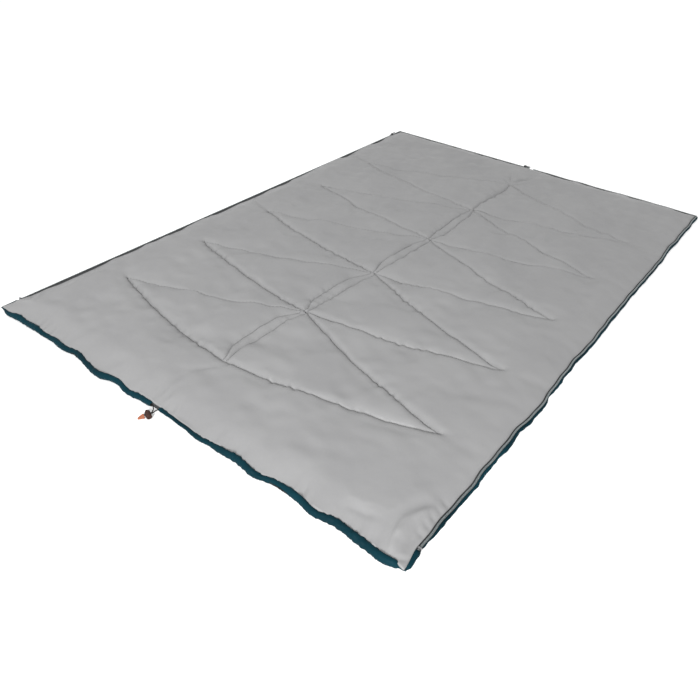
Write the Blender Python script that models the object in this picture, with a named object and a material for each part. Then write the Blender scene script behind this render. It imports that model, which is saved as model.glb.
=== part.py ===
"""A rectangular sleeping bag, unzipped and opened flat like a quilt, lining up.

The frame: X runs across the opened bag, Y from the head edge (-Y) to the foot edge (+Y), and
Z up from the floor. The long fold lies along Y at X = 0, and the right half turns about it
until it lies on the left half with the linings inside. Metres throughout.
"""

import math

import bmesh
import bpy
from mathutils import Matrix, Vector

# Driving dimensions
BAG_LENGTH = 2.20
BAG_WIDTH = 1.50
LOFT = 0.030
FOLD_HEIGHT = 0.034
GAP = 0.0003
FABRIC = 0.0015

# The sandwich at the edge: u is the distance in from the outermost edge
HALF_WIDTH = BAG_WIDTH / 2
HALF_LENGTH = BAG_LENGTH / 2
HEM_DEPTH = 0.0146
SHELL_HEAD_Y = -HALF_LENGTH + HEM_DEPTH + GAP
ROLL_WIDTH = 0.010
ROLL_TOP = 0.0065
SEAM_WIDTH = 0.012
SEAM_TOP = 0.0105
TAPE_THICKNESS = 0.0010
LINING_INSET = 0.012
SLOPE = 0.060

# The zip
TAPE_BOTTOM = SEAM_TOP + GAP
TAPE_TOP = TAPE_BOTTOM + TAPE_THICKNESS
TAPE_U = (0.0035, 0.0220)
COIL_U = (0.0035, 0.0085)
COIL_BOTTOM = TAPE_TOP + GAP
COIL_HEIGHT = 0.0024
COIL_TOP = COIL_BOTTOM + COIL_HEIGHT
ZIP_HEAD_Y = -1.035
ZIP_CENTRE_X = 0.0125
COIL_CENTRE_X = 0.0285
PIN_START_X = 0.0060
STOP_LENGTH = 0.005
SLIDER_LENGTH = 0.012
SLIDER_U = (0.0005, 0.0097)
SLIDER_WALL = 0.0024
SLIDER_BOTTOM = 0.0070
SLIDER_PLATE = 0.0024
FOOT_SLIDER_X = -0.0355
SIDE_SLIDER_Y = 1.020
CROWN_LENGTH = 0.0084
CROWN_WIDTH = 0.0020
CROWN_BAR = 0.0014
CROWN_HEIGHT = 0.0040
PIVOT_LIFT = 0.0013
PULL_LENGTH = 0.027
PULL_WIDTH = 0.0078
PULL_TIP_WIDTH = 0.0056
PULL_THICKNESS = 0.0016
PULL_WINDOW_WIDTH = 0.0036
PULL_WINDOW = (0.0008, 0.0064)

# The head edge and its drawcord
HEM_Z = 0.0098
HEM_HEIGHT = 0.0186
HEM_BORE = 0.0022
HEM_Y = -HALF_LENGTH + HEM_DEPTH / 2
HEM_END_X = 0.735
CORD_GAP_LEFT_X = -0.042
CORD_GAP_RIGHT_X = -0.012
CORD_RADIUS = 0.0015
LEFT_STRAND_START_X = -0.060

# The cord lock: its barrel lies across the cord
LOCK_CENTRE = Vector((-0.0235, -1.1195, 0.0078))
CORD_ANGLE = math.radians(245.6)
CORD_ALONG = Vector((math.cos(CORD_ANGLE), math.sin(CORD_ANGLE), 0.0))
BARREL_ALONG = Vector((math.sin(CORD_ANGLE), -math.cos(CORD_ANGLE), 0.0))
STRAND_OFFSET = 0.00165
BARREL_RADIUS = 0.0075
BARREL_ENDS = (-0.0150, 0.0080)
BORE_RADIUS = 0.0053
BORE_FLOOR = -0.0135
PLUNGER_RADIUS = 0.0050
PLUNGER_ENDS = (-0.0052, 0.0142)
PLUNGER_TRAVEL = 0.0040
BARREL_ROUND = 0.0015
# Points of the button's rounded end: how far below its top, and how far in from its side
BUTTON_DOME = ((0.0030, 0.0), (0.0009, 0.0008), (0.0, 0.0024))
SLOT_HALF_WIDTH = 0.0035
SLOT_HALF_HEIGHT = 0.0019
SPRING_RADIUS = 0.0034
SPRING_WIRE = 0.00035
SPRING_TURNS = 4.5
CORD_END_START = 0.0103
CORD_END_LENGTH = 0.017
CORD_END_ROOT = (0.0125, 0.0100)
CORD_END_TIP = (0.0045, 0.0040)
CORD_END_ROUND = 0.0009
CORD_STEP = 0.006

# How finely round shapes are made
SMOOTH_ANGLE = math.radians(35)
MERGE_DISTANCE = 1e-5
HALF_ROUND_STEPS = 6
TURN_STEPS = 28
HEM_SIDES = 16
CORD_SIDES = 10
SPRING_POINTS_PER_TURN = 12

LEFT = -1
RIGHT = 1


def clear_scene():
    """Remove every object that the start-up file holds."""
    for thing in list(bpy.data.objects):
        bpy.data.objects.remove(thing, do_unlink=True)


def make_material(name, colour, roughness, metallic=0.0):
    """A Principled material with one colour."""
    finish = bpy.data.materials.new(name)
    finish.use_nodes = True
    shader = finish.node_tree.nodes["Principled BSDF"]
    shader.inputs["Base Color"].default_value = (*colour, 1.0)
    shader.inputs["Roughness"].default_value = roughness
    shader.inputs["Metallic"].default_value = metallic
    return finish


def make_axis(name, place):
    """An empty that stands on a joint's axis."""
    axis = bpy.data.objects.new(name, None)
    axis.location = place
    bpy.context.scene.collection.objects.link(axis)
    return axis


def make_object(name, shape, finish, axis=None):
    """Turn a bmesh in world space into a named object, held by the empty on its joint's axis."""
    bmesh.ops.recalc_face_normals(shape, faces=shape.faces)
    if axis is not None:
        bmesh.ops.translate(shape, verts=shape.verts, vec=-axis.location)
    mesh = bpy.data.meshes.new(name)
    shape.to_mesh(mesh)
    shape.free()
    mesh.materials.append(finish)
    thing = bpy.data.objects.new(name, mesh)
    bpy.context.scene.collection.objects.link(thing)
    thing.parent = axis
    return thing


def smooth(thing):
    """Shade round faces smooth and leave the sharper edges crisp."""
    thing.data.shade_smooth()
    thing.data.set_sharp_from_angle(angle=SMOOTH_ANGLE)


def box(low, high):
    """A bmesh box between two corners."""
    shape = bmesh.new()
    bmesh.ops.create_cube(shape, size=1.0)
    size = [top - bottom for bottom, top in zip(low, high)]
    middle = [(top + bottom) / 2 for bottom, top in zip(low, high)]
    bmesh.ops.scale(shape, verts=shape.verts, vec=size)
    bmesh.ops.translate(shape, verts=shape.verts, vec=middle)
    return shape


def raise_face(shape, face, distance):
    """Extrude one face straight up and return the face at its end."""
    made = bmesh.ops.extrude_discrete_faces(shape, faces=[face])
    top = made["faces"][0]
    bmesh.ops.translate(shape, verts=top.verts, vec=(0.0, 0.0, distance))
    return top


def step_in(shape, face, distance, rise=0.0):
    """Inset one level face, then lift the inner face."""
    bmesh.ops.inset_region(shape, faces=[face], thickness=distance, use_boundary=True, use_even_offset=True)
    bmesh.ops.translate(shape, verts=face.verts, vec=(0.0, 0.0, rise))
    return face


def top_face(shape):
    """The face that lies highest and looks up."""
    return max(shape.faces, key=lambda face: face.calc_center_median().z)


def keep_side(shape, side):
    """Cut the whole quilt at the fold and keep one half, with its cut closed."""
    made = bmesh.ops.bisect_plane(
        shape,
        geom=shape.verts[:] + shape.edges[:] + shape.faces[:],
        plane_co=(side * GAP / 2, 0.0, 0.0),
        plane_no=(side, 0.0, 0.0),
        clear_inner=True,
    )
    cut = [item for item in made["geom_cut"] if isinstance(item, bmesh.types.BMEdge)]
    bmesh.ops.holes_fill(shape, edges=cut, sides=0)
    return shape


def outline(inset):
    """The lowest and highest X and Y of the quilt, brought in by inset."""
    return (
        (-HALF_WIDTH + inset, SHELL_HEAD_Y + inset),
        (HALF_WIDTH - inset, HALF_LENGTH - inset),
    )


def shell_shape():
    """A thin floor sheet with a soft roll round it and, inside the roll, the seam that holds the tape."""
    low, high = outline(0.0)
    shape = box((*low, 0.0), (*high, ROLL_TOP))
    face = step_in(shape, top_face(shape), ROLL_WIDTH)
    face = raise_face(shape, face, SEAM_TOP - ROLL_TOP)
    face = step_in(shape, face, SEAM_WIDTH)
    raise_face(shape, face, FABRIC - SEAM_TOP)
    return shape


def insulation_shape():
    """The wadding: a slab whose upper edges slope down to the seam."""
    inset = ROLL_WIDTH + SEAM_WIDTH + 2 * GAP
    bottom = FABRIC + GAP
    edge_top = TAPE_TOP
    low, high = outline(inset)
    shape = box((*low, bottom), (*high, edge_top))
    crown = LOFT - FABRIC - GAP
    step_in(shape, top_face(shape), SLOPE, crown - edge_top)
    return shape


def lining_shape():
    """A sheet over the wadding, level along the seam and sloping up to the full loft."""
    low, high = outline(LINING_INSET)
    bottom = TAPE_TOP + GAP
    shape = bmesh.new()
    corners = [(low[0], low[1]), (high[0], low[1]), (high[0], high[1]), (low[0], high[1])]
    face = shape.faces.new([shape.verts.new((x, y, bottom)) for x, y in corners])
    face = step_in(shape, face, ROLL_WIDTH)
    step_in(shape, face, SLOPE, LOFT - FABRIC - bottom)
    made = bmesh.ops.extrude_face_region(shape, geom=shape.faces[:])
    upper = [item for item in made["geom"] if isinstance(item, bmesh.types.BMVert)]
    bmesh.ops.translate(shape, verts=upper, vec=(0.0, 0.0, FABRIC))
    return shape


def run_along(shape, profile, start, end):
    """Extrude a closed profile of (u, z) points from start to end along local X, with u along local Y."""
    face = shape.faces.new([shape.verts.new((start, u, z)) for u, z in profile])
    made = bmesh.ops.extrude_face_region(shape, geom=[face])
    far = [item for item in made["geom"] if isinstance(item, bmesh.types.BMVert)]
    bmesh.ops.translate(shape, verts=far, vec=(end - start, 0.0, 0.0))
    return shape


def side_edge(side):
    """Local X runs towards the foot, local Y in from the long side."""
    return Matrix(((0, -side, 0, side * HALF_WIDTH), (1, 0, 0, 0), (0, 0, 1, 0), (0, 0, 0, 1)))


def foot_edge(side):
    """Local X runs from the fold towards this half's corner, local Y in from the foot edge."""
    return Matrix(((side, 0, 0, 0), (0, -1, 0, HALF_LENGTH), (0, 0, 1, 0), (0, 0, 0, 1)))


def edge_piece(edge, profile, start, end):
    """A straight piece of one profile on an edge of the bag."""
    shape = run_along(bmesh.new(), profile, start, end)
    bmesh.ops.transform(shape, matrix=edge, verts=shape.verts)
    return shape


def rectangle(u_range, z_range):
    """A closed rectangle of (u, z) points."""
    (near, far), (low, high) = u_range, z_range
    return [(near, low), (far, low), (far, high), (near, high)]


def half_round(u_range, bottom, height):
    """A flat-bottomed profile with a rounded top."""
    middle = (u_range[0] + u_range[1]) / 2
    reach = (u_range[1] - u_range[0]) / 2
    angles = [math.pi * step / HALF_ROUND_STEPS for step in range(HALF_ROUND_STEPS + 1)]
    return [(middle + reach * math.cos(a), bottom + height * math.sin(a)) for a in angles]


def clasp(bottom, top, plate):
    """A C-shaped profile, open inwards, that wraps the tape's edge and the coil."""
    near, far = SLIDER_U
    wall = near + SLIDER_WALL
    low, high = bottom, top + plate
    return [
        (near, low),
        (far, low),
        (far, SEAM_TOP),
        (wall, SEAM_TOP),
        (wall, top),
        (far, top),
        (far, high),
        (near, high),
    ]


def zip_half(side, word, cloth, plastic, metal, axis):
    """The tape, the coil and the end stops on one half of the bag."""
    tape = rectangle(TAPE_U, (TAPE_BOTTOM, TAPE_TOP))
    coil = half_round(COIL_U, COIL_BOTTOM, COIL_HEIGHT)
    side_edge_here, foot_edge_here = side_edge(side), foot_edge(side)
    side_tape_end = HALF_LENGTH - TAPE_U[1] - GAP
    side_coil_end = HALF_LENGTH - COIL_U[1] - GAP
    corner = HALF_WIDTH - TAPE_U[0]
    pieces = {
        f"zip_tape_side_{word}": (side_edge_here, tape, ZIP_HEAD_Y, side_tape_end, cloth),
        f"zip_tape_foot_{word}": (foot_edge_here, tape, ZIP_CENTRE_X, corner, cloth),
        f"zip_coil_side_{word}": (side_edge_here, coil, ZIP_HEAD_Y, side_coil_end, plastic),
        f"zip_coil_foot_{word}": (foot_edge_here, coil, COIL_CENTRE_X, corner, plastic),
    }
    for name, (edge, profile, start, end, finish) in pieces.items():
        smooth(make_object(name, edge_piece(edge, profile, start, end), finish, axis))
    stop = clasp(SEAM_TOP - FABRIC, COIL_TOP + GAP, FABRIC)
    stop_start = ZIP_HEAD_Y + FABRIC
    shape = edge_piece(side_edge_here, stop, stop_start, stop_start + STOP_LENGTH)
    make_object(f"zip_top_stop_{word}", shape, metal, axis)


def zip_ends(plastic, axis_right):
    """The retainer box on the left half and the insertion pin on the right half, at the fold."""
    sleeve = clasp(SLIDER_BOTTOM, COIL_TOP + GAP, FABRIC)
    shape = edge_piece(foot_edge(LEFT), sleeve, ZIP_CENTRE_X + FABRIC, COIL_CENTRE_X - GAP)
    make_object("zip_box", shape, plastic)
    rod = half_round(COIL_U, COIL_BOTTOM, COIL_HEIGHT)
    shape = edge_piece(foot_edge(RIGHT), rod, PIN_START_X, COIL_CENTRE_X - GAP)
    smooth(make_object("zip_pin", shape, plastic, axis_right))


def slider_shape(edge, place):
    """A slider: the C that rides the coil, with a crown on top that holds the pull."""
    top = COIL_TOP + GAP
    near, far = SLIDER_U
    middle = (near + far) / 2
    plate_top = top + SLIDER_PLATE
    shape = run_along(bmesh.new(), clasp(SLIDER_BOTTOM, top, SLIDER_PLATE),
                      -SLIDER_LENGTH / 2, SLIDER_LENGTH / 2)
    half, bar, high = CROWN_LENGTH / 2, CROWN_BAR, CROWN_HEIGHT
    # The legs start inside the plate, so that the join below is one body.
    arch = [(-half, -bar), (-half + bar, -bar), (-half + bar, high - bar), (half - bar, high - bar),
            (half - bar, -bar), (half, -bar), (half, high), (-half, high)]
    crown = bmesh.new()
    points = [(x, middle - CROWN_WIDTH / 2, plate_top + z) for x, z in arch]
    face = crown.faces.new([crown.verts.new(point) for point in points])
    made = bmesh.ops.extrude_face_region(crown, geom=[face])
    far_side = [item for item in made["geom"] if isinstance(item, bmesh.types.BMVert)]
    bmesh.ops.translate(crown, verts=far_side, vec=(0.0, CROWN_WIDTH, 0.0))
    for part in (shape, crown):
        bmesh.ops.transform(part, matrix=edge @ Matrix.Translation((place, 0, 0)), verts=part.verts)
    return shape, crown


def pull_shape(edge, place, direction):
    """A pull tab that lies flat, with a window for the crown and its cross bar under the crown."""
    middle = (SLIDER_U[0] + SLIDER_U[1]) / 2
    pivot_z = COIL_TOP + GAP + SLIDER_PLATE + PIVOT_LIFT
    bar = PULL_THICKNESS / 2
    window, half = PULL_WINDOW_WIDTH / 2, PULL_WIDTH / 2
    window_start, window_end = PULL_WINDOW
    shape = bmesh.new()
    ring = [(-bar, -half), (window_end, -half), (PULL_LENGTH, -PULL_TIP_WIDTH / 2),
            (PULL_LENGTH, PULL_TIP_WIDTH / 2), (window_end, half), (-bar, half)]
    hole = [(window_start, -window), (window_end, -window), (window_end, window), (window_start, window)]
    edges = []
    for loop in (ring, hole):
        verts = [shape.verts.new((x, y, 0.0)) for x, y in loop]
        edges += [shape.edges.new((a, b)) for a, b in zip(verts, verts[1:] + verts[:1])]
    bmesh.ops.triangle_fill(shape, use_beauty=True, edges=edges)
    made = bmesh.ops.extrude_face_region(shape, geom=shape.faces[:])
    upper = [item for item in made["geom"] if isinstance(item, bmesh.types.BMVert)]
    bmesh.ops.translate(shape, verts=upper, vec=(0.0, 0.0, PULL_THICKNESS))
    bmesh.ops.translate(shape, verts=shape.verts, vec=(0.0, 0.0, -bar))
    bmesh.ops.scale(shape, verts=shape.verts, vec=(direction, 1.0, 1.0))
    matrix = edge @ Matrix.Translation((place, middle, pivot_z))
    bmesh.ops.transform(shape, matrix=matrix, verts=shape.verts)
    return shape


def join(name, thing, other):
    """Union a helper into an object with a live Boolean, and hide the helper."""
    other.hide_render = True
    other.display_type = "WIRE"
    modifier = thing.modifiers.new(name, "BOOLEAN")
    modifier.operation = "UNION"
    modifier.object = other


def cut(name, thing, other):
    """Cut a helper out of an object with a live Boolean, and hide the helper."""
    other.hide_render = True
    other.display_type = "WIRE"
    modifier = thing.modifiers.new(name, "BOOLEAN")
    modifier.operation = "DIFFERENCE"
    modifier.object = other


def zip_slider(word, edge, place, direction, metal, plastic):
    """One slider and its pull, with the pull's pivot on an empty of its own."""
    middle = (SLIDER_U[0] + SLIDER_U[1]) / 2
    pivot_z = COIL_TOP + GAP + SLIDER_PLATE + PIVOT_LIFT
    axis = make_axis(f"{word}_slider_axis", edge @ Vector((place, middle, 0.0)))
    pivot = make_axis(f"{word}_pull_axis", edge @ Vector((place, middle, pivot_z)))
    body, crown = slider_shape(edge, place)
    slider = make_object(f"zip_slider_{word}", body, metal, axis)
    join("crown", slider, make_object(f"{word}_crown_helper", crown, metal, axis))
    make_object(f"zip_pull_{word}", pull_shape(edge, place, direction), plastic, pivot)


def hem_tube(start, end):
    """A soft tube along the head edge, with the bore that the drawcord runs in."""
    shape = bmesh.new()
    outer = bmesh.ops.create_circle(shape, cap_ends=False, radius=1.0, segments=HEM_SIDES)["verts"]
    made = bmesh.ops.extrude_edge_only(shape, edges=shape.edges[:])
    inner = [item for item in made["geom"] if isinstance(item, bmesh.types.BMVert)]
    bmesh.ops.scale(shape, verts=inner, vec=(HEM_BORE, HEM_BORE, 1.0))
    bmesh.ops.scale(shape, verts=outer, vec=(HEM_HEIGHT / 2, HEM_DEPTH / 2, 1.0))
    bmesh.ops.rotate(shape, verts=shape.verts, matrix=Matrix.Rotation(math.pi / 2, 3, "Y"))
    bmesh.ops.translate(shape, verts=shape.verts, vec=(start, HEM_Y, HEM_Z))
    made = bmesh.ops.extrude_face_region(shape, geom=shape.faces[:])
    far = [item for item in made["geom"] if isinstance(item, bmesh.types.BMVert)]
    bmesh.ops.translate(shape, verts=far, vec=(end - start, 0.0, 0.0))
    return shape


def cord_in_hem(start, end):
    """The stretch of drawcord that lies hidden in the head hem."""
    shape = bmesh.new()
    bmesh.ops.create_cone(shape, cap_ends=True, segments=CORD_SIDES, radius1=CORD_RADIUS,
                          radius2=CORD_RADIUS, depth=end - start)
    bmesh.ops.rotate(shape, verts=shape.verts, matrix=Matrix.Rotation(math.pi / 2, 3, "Y"))
    bmesh.ops.translate(shape, verts=shape.verts, vec=((start + end) / 2, HEM_Y, HEM_Z))
    return shape


def on_lock(along_barrel, along_cord=0.0, up=0.0):
    """A point given in the cord lock's own directions."""
    return LOCK_CENTRE + BARREL_ALONG * along_barrel + CORD_ALONG * along_cord + Vector((0, 0, up))


def curve_through(points):
    """A smooth line through points: a Catmull-Rom curve with a point every few millimetres."""
    line = [points[0]]
    ends = [2 * points[0] - points[1], *points, 2 * points[-1] - points[-2]]
    for before, here, there, after in zip(ends, ends[1:], ends[2:], ends[3:]):
        steps = max(1, round((there - here).length / CORD_STEP))
        for step in range(1, steps + 1):
            t = step / steps
            line.append(0.5 * (2 * here + (there - before) * t
                               + (2 * before - 5 * here + 4 * there - after) * t ** 2
                               + (3 * here - before - 3 * there + after) * t ** 3))
    return line


def free_strand(name, points, finish):
    """A free stretch of drawcord as a round tube along a smooth line."""
    data = bpy.data.curves.new(name, "CURVE")
    data.dimensions = "3D"
    data.bevel_depth = CORD_RADIUS
    data.bevel_resolution = 2
    data.use_fill_caps = True
    line = curve_through(points)
    spline = data.splines.new("POLY")
    spline.points.add(len(line) - 1)
    for point, place in zip(spline.points, line):
        point.co = (*place, 1.0)
    data.materials.append(finish)
    thing = bpy.data.objects.new(name, data)
    bpy.context.scene.collection.objects.link(thing)


def strand_routes():
    """The two free strands: from the ends of the hem, through the lock together, into the end piece."""
    last = CORD_END_START - GAP
    left = [
        Vector((LEFT_STRAND_START_X, HEM_Y, HEM_Z)),
        Vector((-0.0520, HEM_Y, HEM_Z)),
        Vector((-0.0430, HEM_Y, HEM_Z)),
        Vector((-0.0350, -1.0940, 0.0096)),
        Vector((-0.0282, -1.0980, 0.0090)),
        Vector((-0.0236, -1.1035, 0.0082)),
        on_lock(STRAND_OFFSET, -0.0100),
        on_lock(STRAND_OFFSET, -0.0050),
        on_lock(STRAND_OFFSET, 0.0),
        on_lock(STRAND_OFFSET, last),
    ]
    right = [
        Vector((-GAP, HEM_Y, HEM_Z)),
        Vector((-0.0060, HEM_Y, HEM_Z)),
        Vector((-0.0110, HEM_Y, HEM_Z)),
        Vector((-0.0152, -1.0946, 0.0096)),
        Vector((-0.0172, -1.0990, 0.0090)),
        Vector((-0.0176, -1.1050, 0.0082)),
        on_lock(-STRAND_OFFSET, -0.0100),
        on_lock(-STRAND_OFFSET, -0.0050),
        on_lock(-STRAND_OFFSET, 0.0),
        on_lock(-STRAND_OFFSET, last),
    ]
    return left, right


def turned(profile):
    """Turn a closed profile of (along the barrel, radius) points about the barrel's axis."""
    shape = bmesh.new()
    points = [on_lock(along, 0.0, radius) for along, radius in profile]
    verts = [shape.verts.new(point) for point in points]
    edges = [shape.edges.new(pair) for pair in zip(verts, verts[1:])]
    bmesh.ops.spin(shape, geom=verts + edges, cent=LOCK_CENTRE, axis=BARREL_ALONG,
                   angle=2 * math.pi, steps=TURN_STEPS, use_merge=True, use_duplicate=False)
    bmesh.ops.remove_doubles(shape, verts=shape.verts, dist=MERGE_DISTANCE)
    return shape


def slot_cutter(name, low, high, finish, axis):
    """A box along the cord that cuts the slot for both strands."""
    reach = 2 * BARREL_RADIUS
    shape = box((low, -reach, -SLOT_HALF_HEIGHT), (high, reach, SLOT_HALF_HEIGHT))
    turn = Matrix((BARREL_ALONG, CORD_ALONG, (0, 0, 1))).transposed().to_4x4()
    bmesh.ops.transform(shape, matrix=Matrix.Translation(LOCK_CENTRE) @ turn, verts=shape.verts)
    return make_object(name, shape, finish, axis)


def cord_lock(plastic, metal):
    """A barrel lock: a sprung plunger whose slot grips both strands against the barrel's slot."""
    axis = make_axis("cord_lock_axis", LOCK_CENTRE)
    button_axis = make_axis("cord_lock_button_axis", LOCK_CENTRE)
    base, mouth = BARREL_ENDS
    profile = [
        (base, 0.0),
        (base, BARREL_RADIUS - BARREL_ROUND),
        (base + BARREL_ROUND, BARREL_RADIUS),
        (mouth - BARREL_ROUND, BARREL_RADIUS),
        (mouth, BARREL_RADIUS - BARREL_ROUND / 2),
        (mouth, BORE_RADIUS),
        (BORE_FLOOR, BORE_RADIUS),
        (BORE_FLOOR, 0.0),
    ]
    barrel = make_object("cord_lock_body", turned(profile), plastic, axis)
    cut("slot", barrel, slot_cutter("barrel_slot_helper", -SLOT_HALF_WIDTH, SLOT_HALF_WIDTH, plastic, axis))
    smooth(barrel)
    bottom, top = PLUNGER_ENDS
    dome = [(top - below, PLUNGER_RADIUS - inward) for below, inward in BUTTON_DOME]
    profile = [(bottom, 0.0), (bottom, PLUNGER_RADIUS), *dome, (top, 0.0)]
    plunger = make_object("cord_lock_button", turned(profile), plastic, button_axis)
    high = SLOT_HALF_WIDTH + PLUNGER_TRAVEL
    cut("slot", plunger, slot_cutter("plunger_slot_helper", -SLOT_HALF_WIDTH, high, plastic, button_axis))
    smooth(plunger)
    lock_spring(metal)


def lock_spring(metal):
    """The coil spring behind the plunger."""
    start = BORE_FLOOR + GAP + SPRING_WIRE
    length = PLUNGER_ENDS[0] - GAP - SPRING_WIRE - start
    points = []
    count = int(SPRING_TURNS * SPRING_POINTS_PER_TURN)
    for step in range(count + 1):
        angle = 2 * math.pi * step / SPRING_POINTS_PER_TURN
        across, up = SPRING_RADIUS * math.cos(angle), SPRING_RADIUS * math.sin(angle)
        points.append(on_lock(start + length * step / count, across, up))
    data = bpy.data.curves.new("cord_lock_spring", "CURVE")
    data.dimensions = "3D"
    data.bevel_depth = SPRING_WIRE
    data.bevel_resolution = 1
    data.use_fill_caps = True
    spline = data.splines.new("POLY")
    spline.points.add(count)
    for point, place in zip(spline.points, points):
        point.co = (*place, 1.0)
    data.materials.append(metal)
    thing = bpy.data.objects.new("cord_lock_spring", data)
    bpy.context.scene.collection.objects.link(thing)


def cord_end(plastic):
    """The tapered end piece that joins both strands, lying on the floor."""
    shape = bmesh.new()
    loops = []
    far = CORD_END_START + CORD_END_LENGTH
    for along, (wide, tall) in ((CORD_END_START, CORD_END_ROOT), (far, CORD_END_TIP)):
        corners = ((-wide / 2, 0.0), (wide / 2, 0.0), (wide / 2, tall), (-wide / 2, tall))
        floor = GAP - LOCK_CENTRE.z
        loops.append([shape.verts.new(on_lock(across, along, floor + up)) for across, up in corners])
    for loop in loops:
        shape.faces.new(loop)
    for step in range(4):
        following = (step + 1) % 4
        shape.faces.new((loops[0][step], loops[0][following], loops[1][following], loops[1][step]))
    bmesh.ops.bevel(shape, geom=shape.edges[:], offset=CORD_END_ROUND, segments=2, profile=0.5,
                    affect="EDGES", material=-1)
    smooth(make_object("cord_end", shape, plastic))


def main():
    """Build the bag."""
    clear_scene()
    lining_cloth = make_material("lining_cloth", (0.36, 0.37, 0.37), 0.55)
    shell_cloth = make_material("shell_cloth", (0.012, 0.075, 0.105), 0.65)
    wadding = make_material("wadding", (0.80, 0.80, 0.78), 0.95)
    zip_cloth = make_material("zip_cloth", (0.035, 0.037, 0.040), 0.70)
    zip_coil = make_material("zip_coil", (0.028, 0.029, 0.031), 0.40)
    cord_cloth = make_material("cord_cloth", (0.015, 0.013, 0.012), 0.80)
    lock_plastic = make_material("lock_plastic", (0.030, 0.014, 0.012), 0.45)
    end_plastic = make_material("end_plastic", (0.70, 0.22, 0.09), 0.50)
    zip_metal = make_material("zip_metal", (0.10, 0.10, 0.11), 0.35, 1.0)
    spring_steel = make_material("spring_steel", (0.60, 0.60, 0.60), 0.30, 1.0)

    fold = make_axis("fold_axis", Vector((0.0, 0.0, FOLD_HEIGHT)))
    for side, word, axis in ((LEFT, "left", None), (RIGHT, "right", fold)):
        make_object(f"shell_{word}", keep_side(shell_shape(), side), shell_cloth, axis)
        make_object(f"insulation_{word}", keep_side(insulation_shape(), side), wadding, axis)
        make_object(f"lining_{word}", keep_side(lining_shape(), side), lining_cloth, axis)
        zip_half(side, word, zip_cloth, zip_coil, zip_metal, axis)

    zip_ends(lock_plastic, fold)
    zip_slider("foot", foot_edge(LEFT), -FOOT_SLIDER_X, -1, zip_metal, zip_metal)
    zip_slider("side", side_edge(LEFT), SIDE_SLIDER_Y, 1, zip_metal, zip_metal)

    smooth(make_object("head_hem_left", hem_tube(-HEM_END_X, CORD_GAP_LEFT_X), shell_cloth))
    smooth(make_object("head_hem_centre", hem_tube(CORD_GAP_RIGHT_X, -GAP / 2), shell_cloth))
    smooth(make_object("head_hem_right", hem_tube(GAP / 2, HEM_END_X), shell_cloth, fold))
    smooth(make_object("drawcord_left", cord_in_hem(-HEM_END_X, LEFT_STRAND_START_X - GAP), cord_cloth))
    smooth(make_object("drawcord_right", cord_in_hem(GAP, HEM_END_X), cord_cloth, fold))
    left_route, right_route = strand_routes()
    free_strand("drawcord_strand_left", left_route, cord_cloth)
    free_strand("drawcord_strand_right", right_route, cord_cloth)
    cord_lock(lock_plastic, spring_steel)
    cord_end(end_plastic)


main()
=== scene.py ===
"""Looks for a rectangular sleeping bag, unzipped and opened flat like a quilt, lining up.

The frame: X runs across the opened bag, Y from the head edge (-Y) to the foot edge (+Y), and Z up
from the floor. The long fold lies along Y at X = 0. Everything is in metres, and the sizes that the
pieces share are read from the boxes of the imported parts.
"""

import logging
import math
from dataclasses import dataclass, field
from enum import Enum
from typing import Callable, Sequence

import bmesh
import bpy
import numpy as np
from mathutils import Matrix, Vector
from mathutils.bvhtree import BVHTree
from mathutils.kdtree import KDTree


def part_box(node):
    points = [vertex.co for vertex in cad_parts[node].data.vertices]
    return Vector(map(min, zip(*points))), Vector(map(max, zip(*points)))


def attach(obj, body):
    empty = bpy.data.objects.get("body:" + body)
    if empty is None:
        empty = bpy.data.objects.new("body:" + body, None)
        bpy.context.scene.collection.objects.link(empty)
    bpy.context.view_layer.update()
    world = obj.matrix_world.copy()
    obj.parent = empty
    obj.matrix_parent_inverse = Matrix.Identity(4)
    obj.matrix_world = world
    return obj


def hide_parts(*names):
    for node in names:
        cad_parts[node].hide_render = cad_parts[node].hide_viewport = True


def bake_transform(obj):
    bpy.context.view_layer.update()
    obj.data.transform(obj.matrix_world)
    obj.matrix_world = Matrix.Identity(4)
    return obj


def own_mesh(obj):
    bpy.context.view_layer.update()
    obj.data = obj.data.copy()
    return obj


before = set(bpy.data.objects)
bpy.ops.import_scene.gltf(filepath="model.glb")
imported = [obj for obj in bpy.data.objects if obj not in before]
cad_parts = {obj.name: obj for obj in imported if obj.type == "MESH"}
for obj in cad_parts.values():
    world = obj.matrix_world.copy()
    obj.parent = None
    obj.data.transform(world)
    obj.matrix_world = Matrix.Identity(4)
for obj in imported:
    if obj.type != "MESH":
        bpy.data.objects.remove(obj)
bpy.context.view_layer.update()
LOG = logging.getLogger("sleeping_bag")

Colour = tuple[float, float, float]
Profile = list[tuple[float, float]]

LEFT_BODY = "left_half"
RIGHT_BODY = "right_half"
FOLD_REACH = 0.010
HEM_LINE_Y, HEM_LINE_Z = -1.0927, 0.0098
FOLD_SLICES = 13


def smoothstep(value: np.ndarray | float) -> np.ndarray | float:
    """Ease from 0 to 1 as value goes from 0 to 1."""
    held = np.clip(value, 0.0, 1.0)
    return held * held * (3.0 - 2.0 * held)


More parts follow.
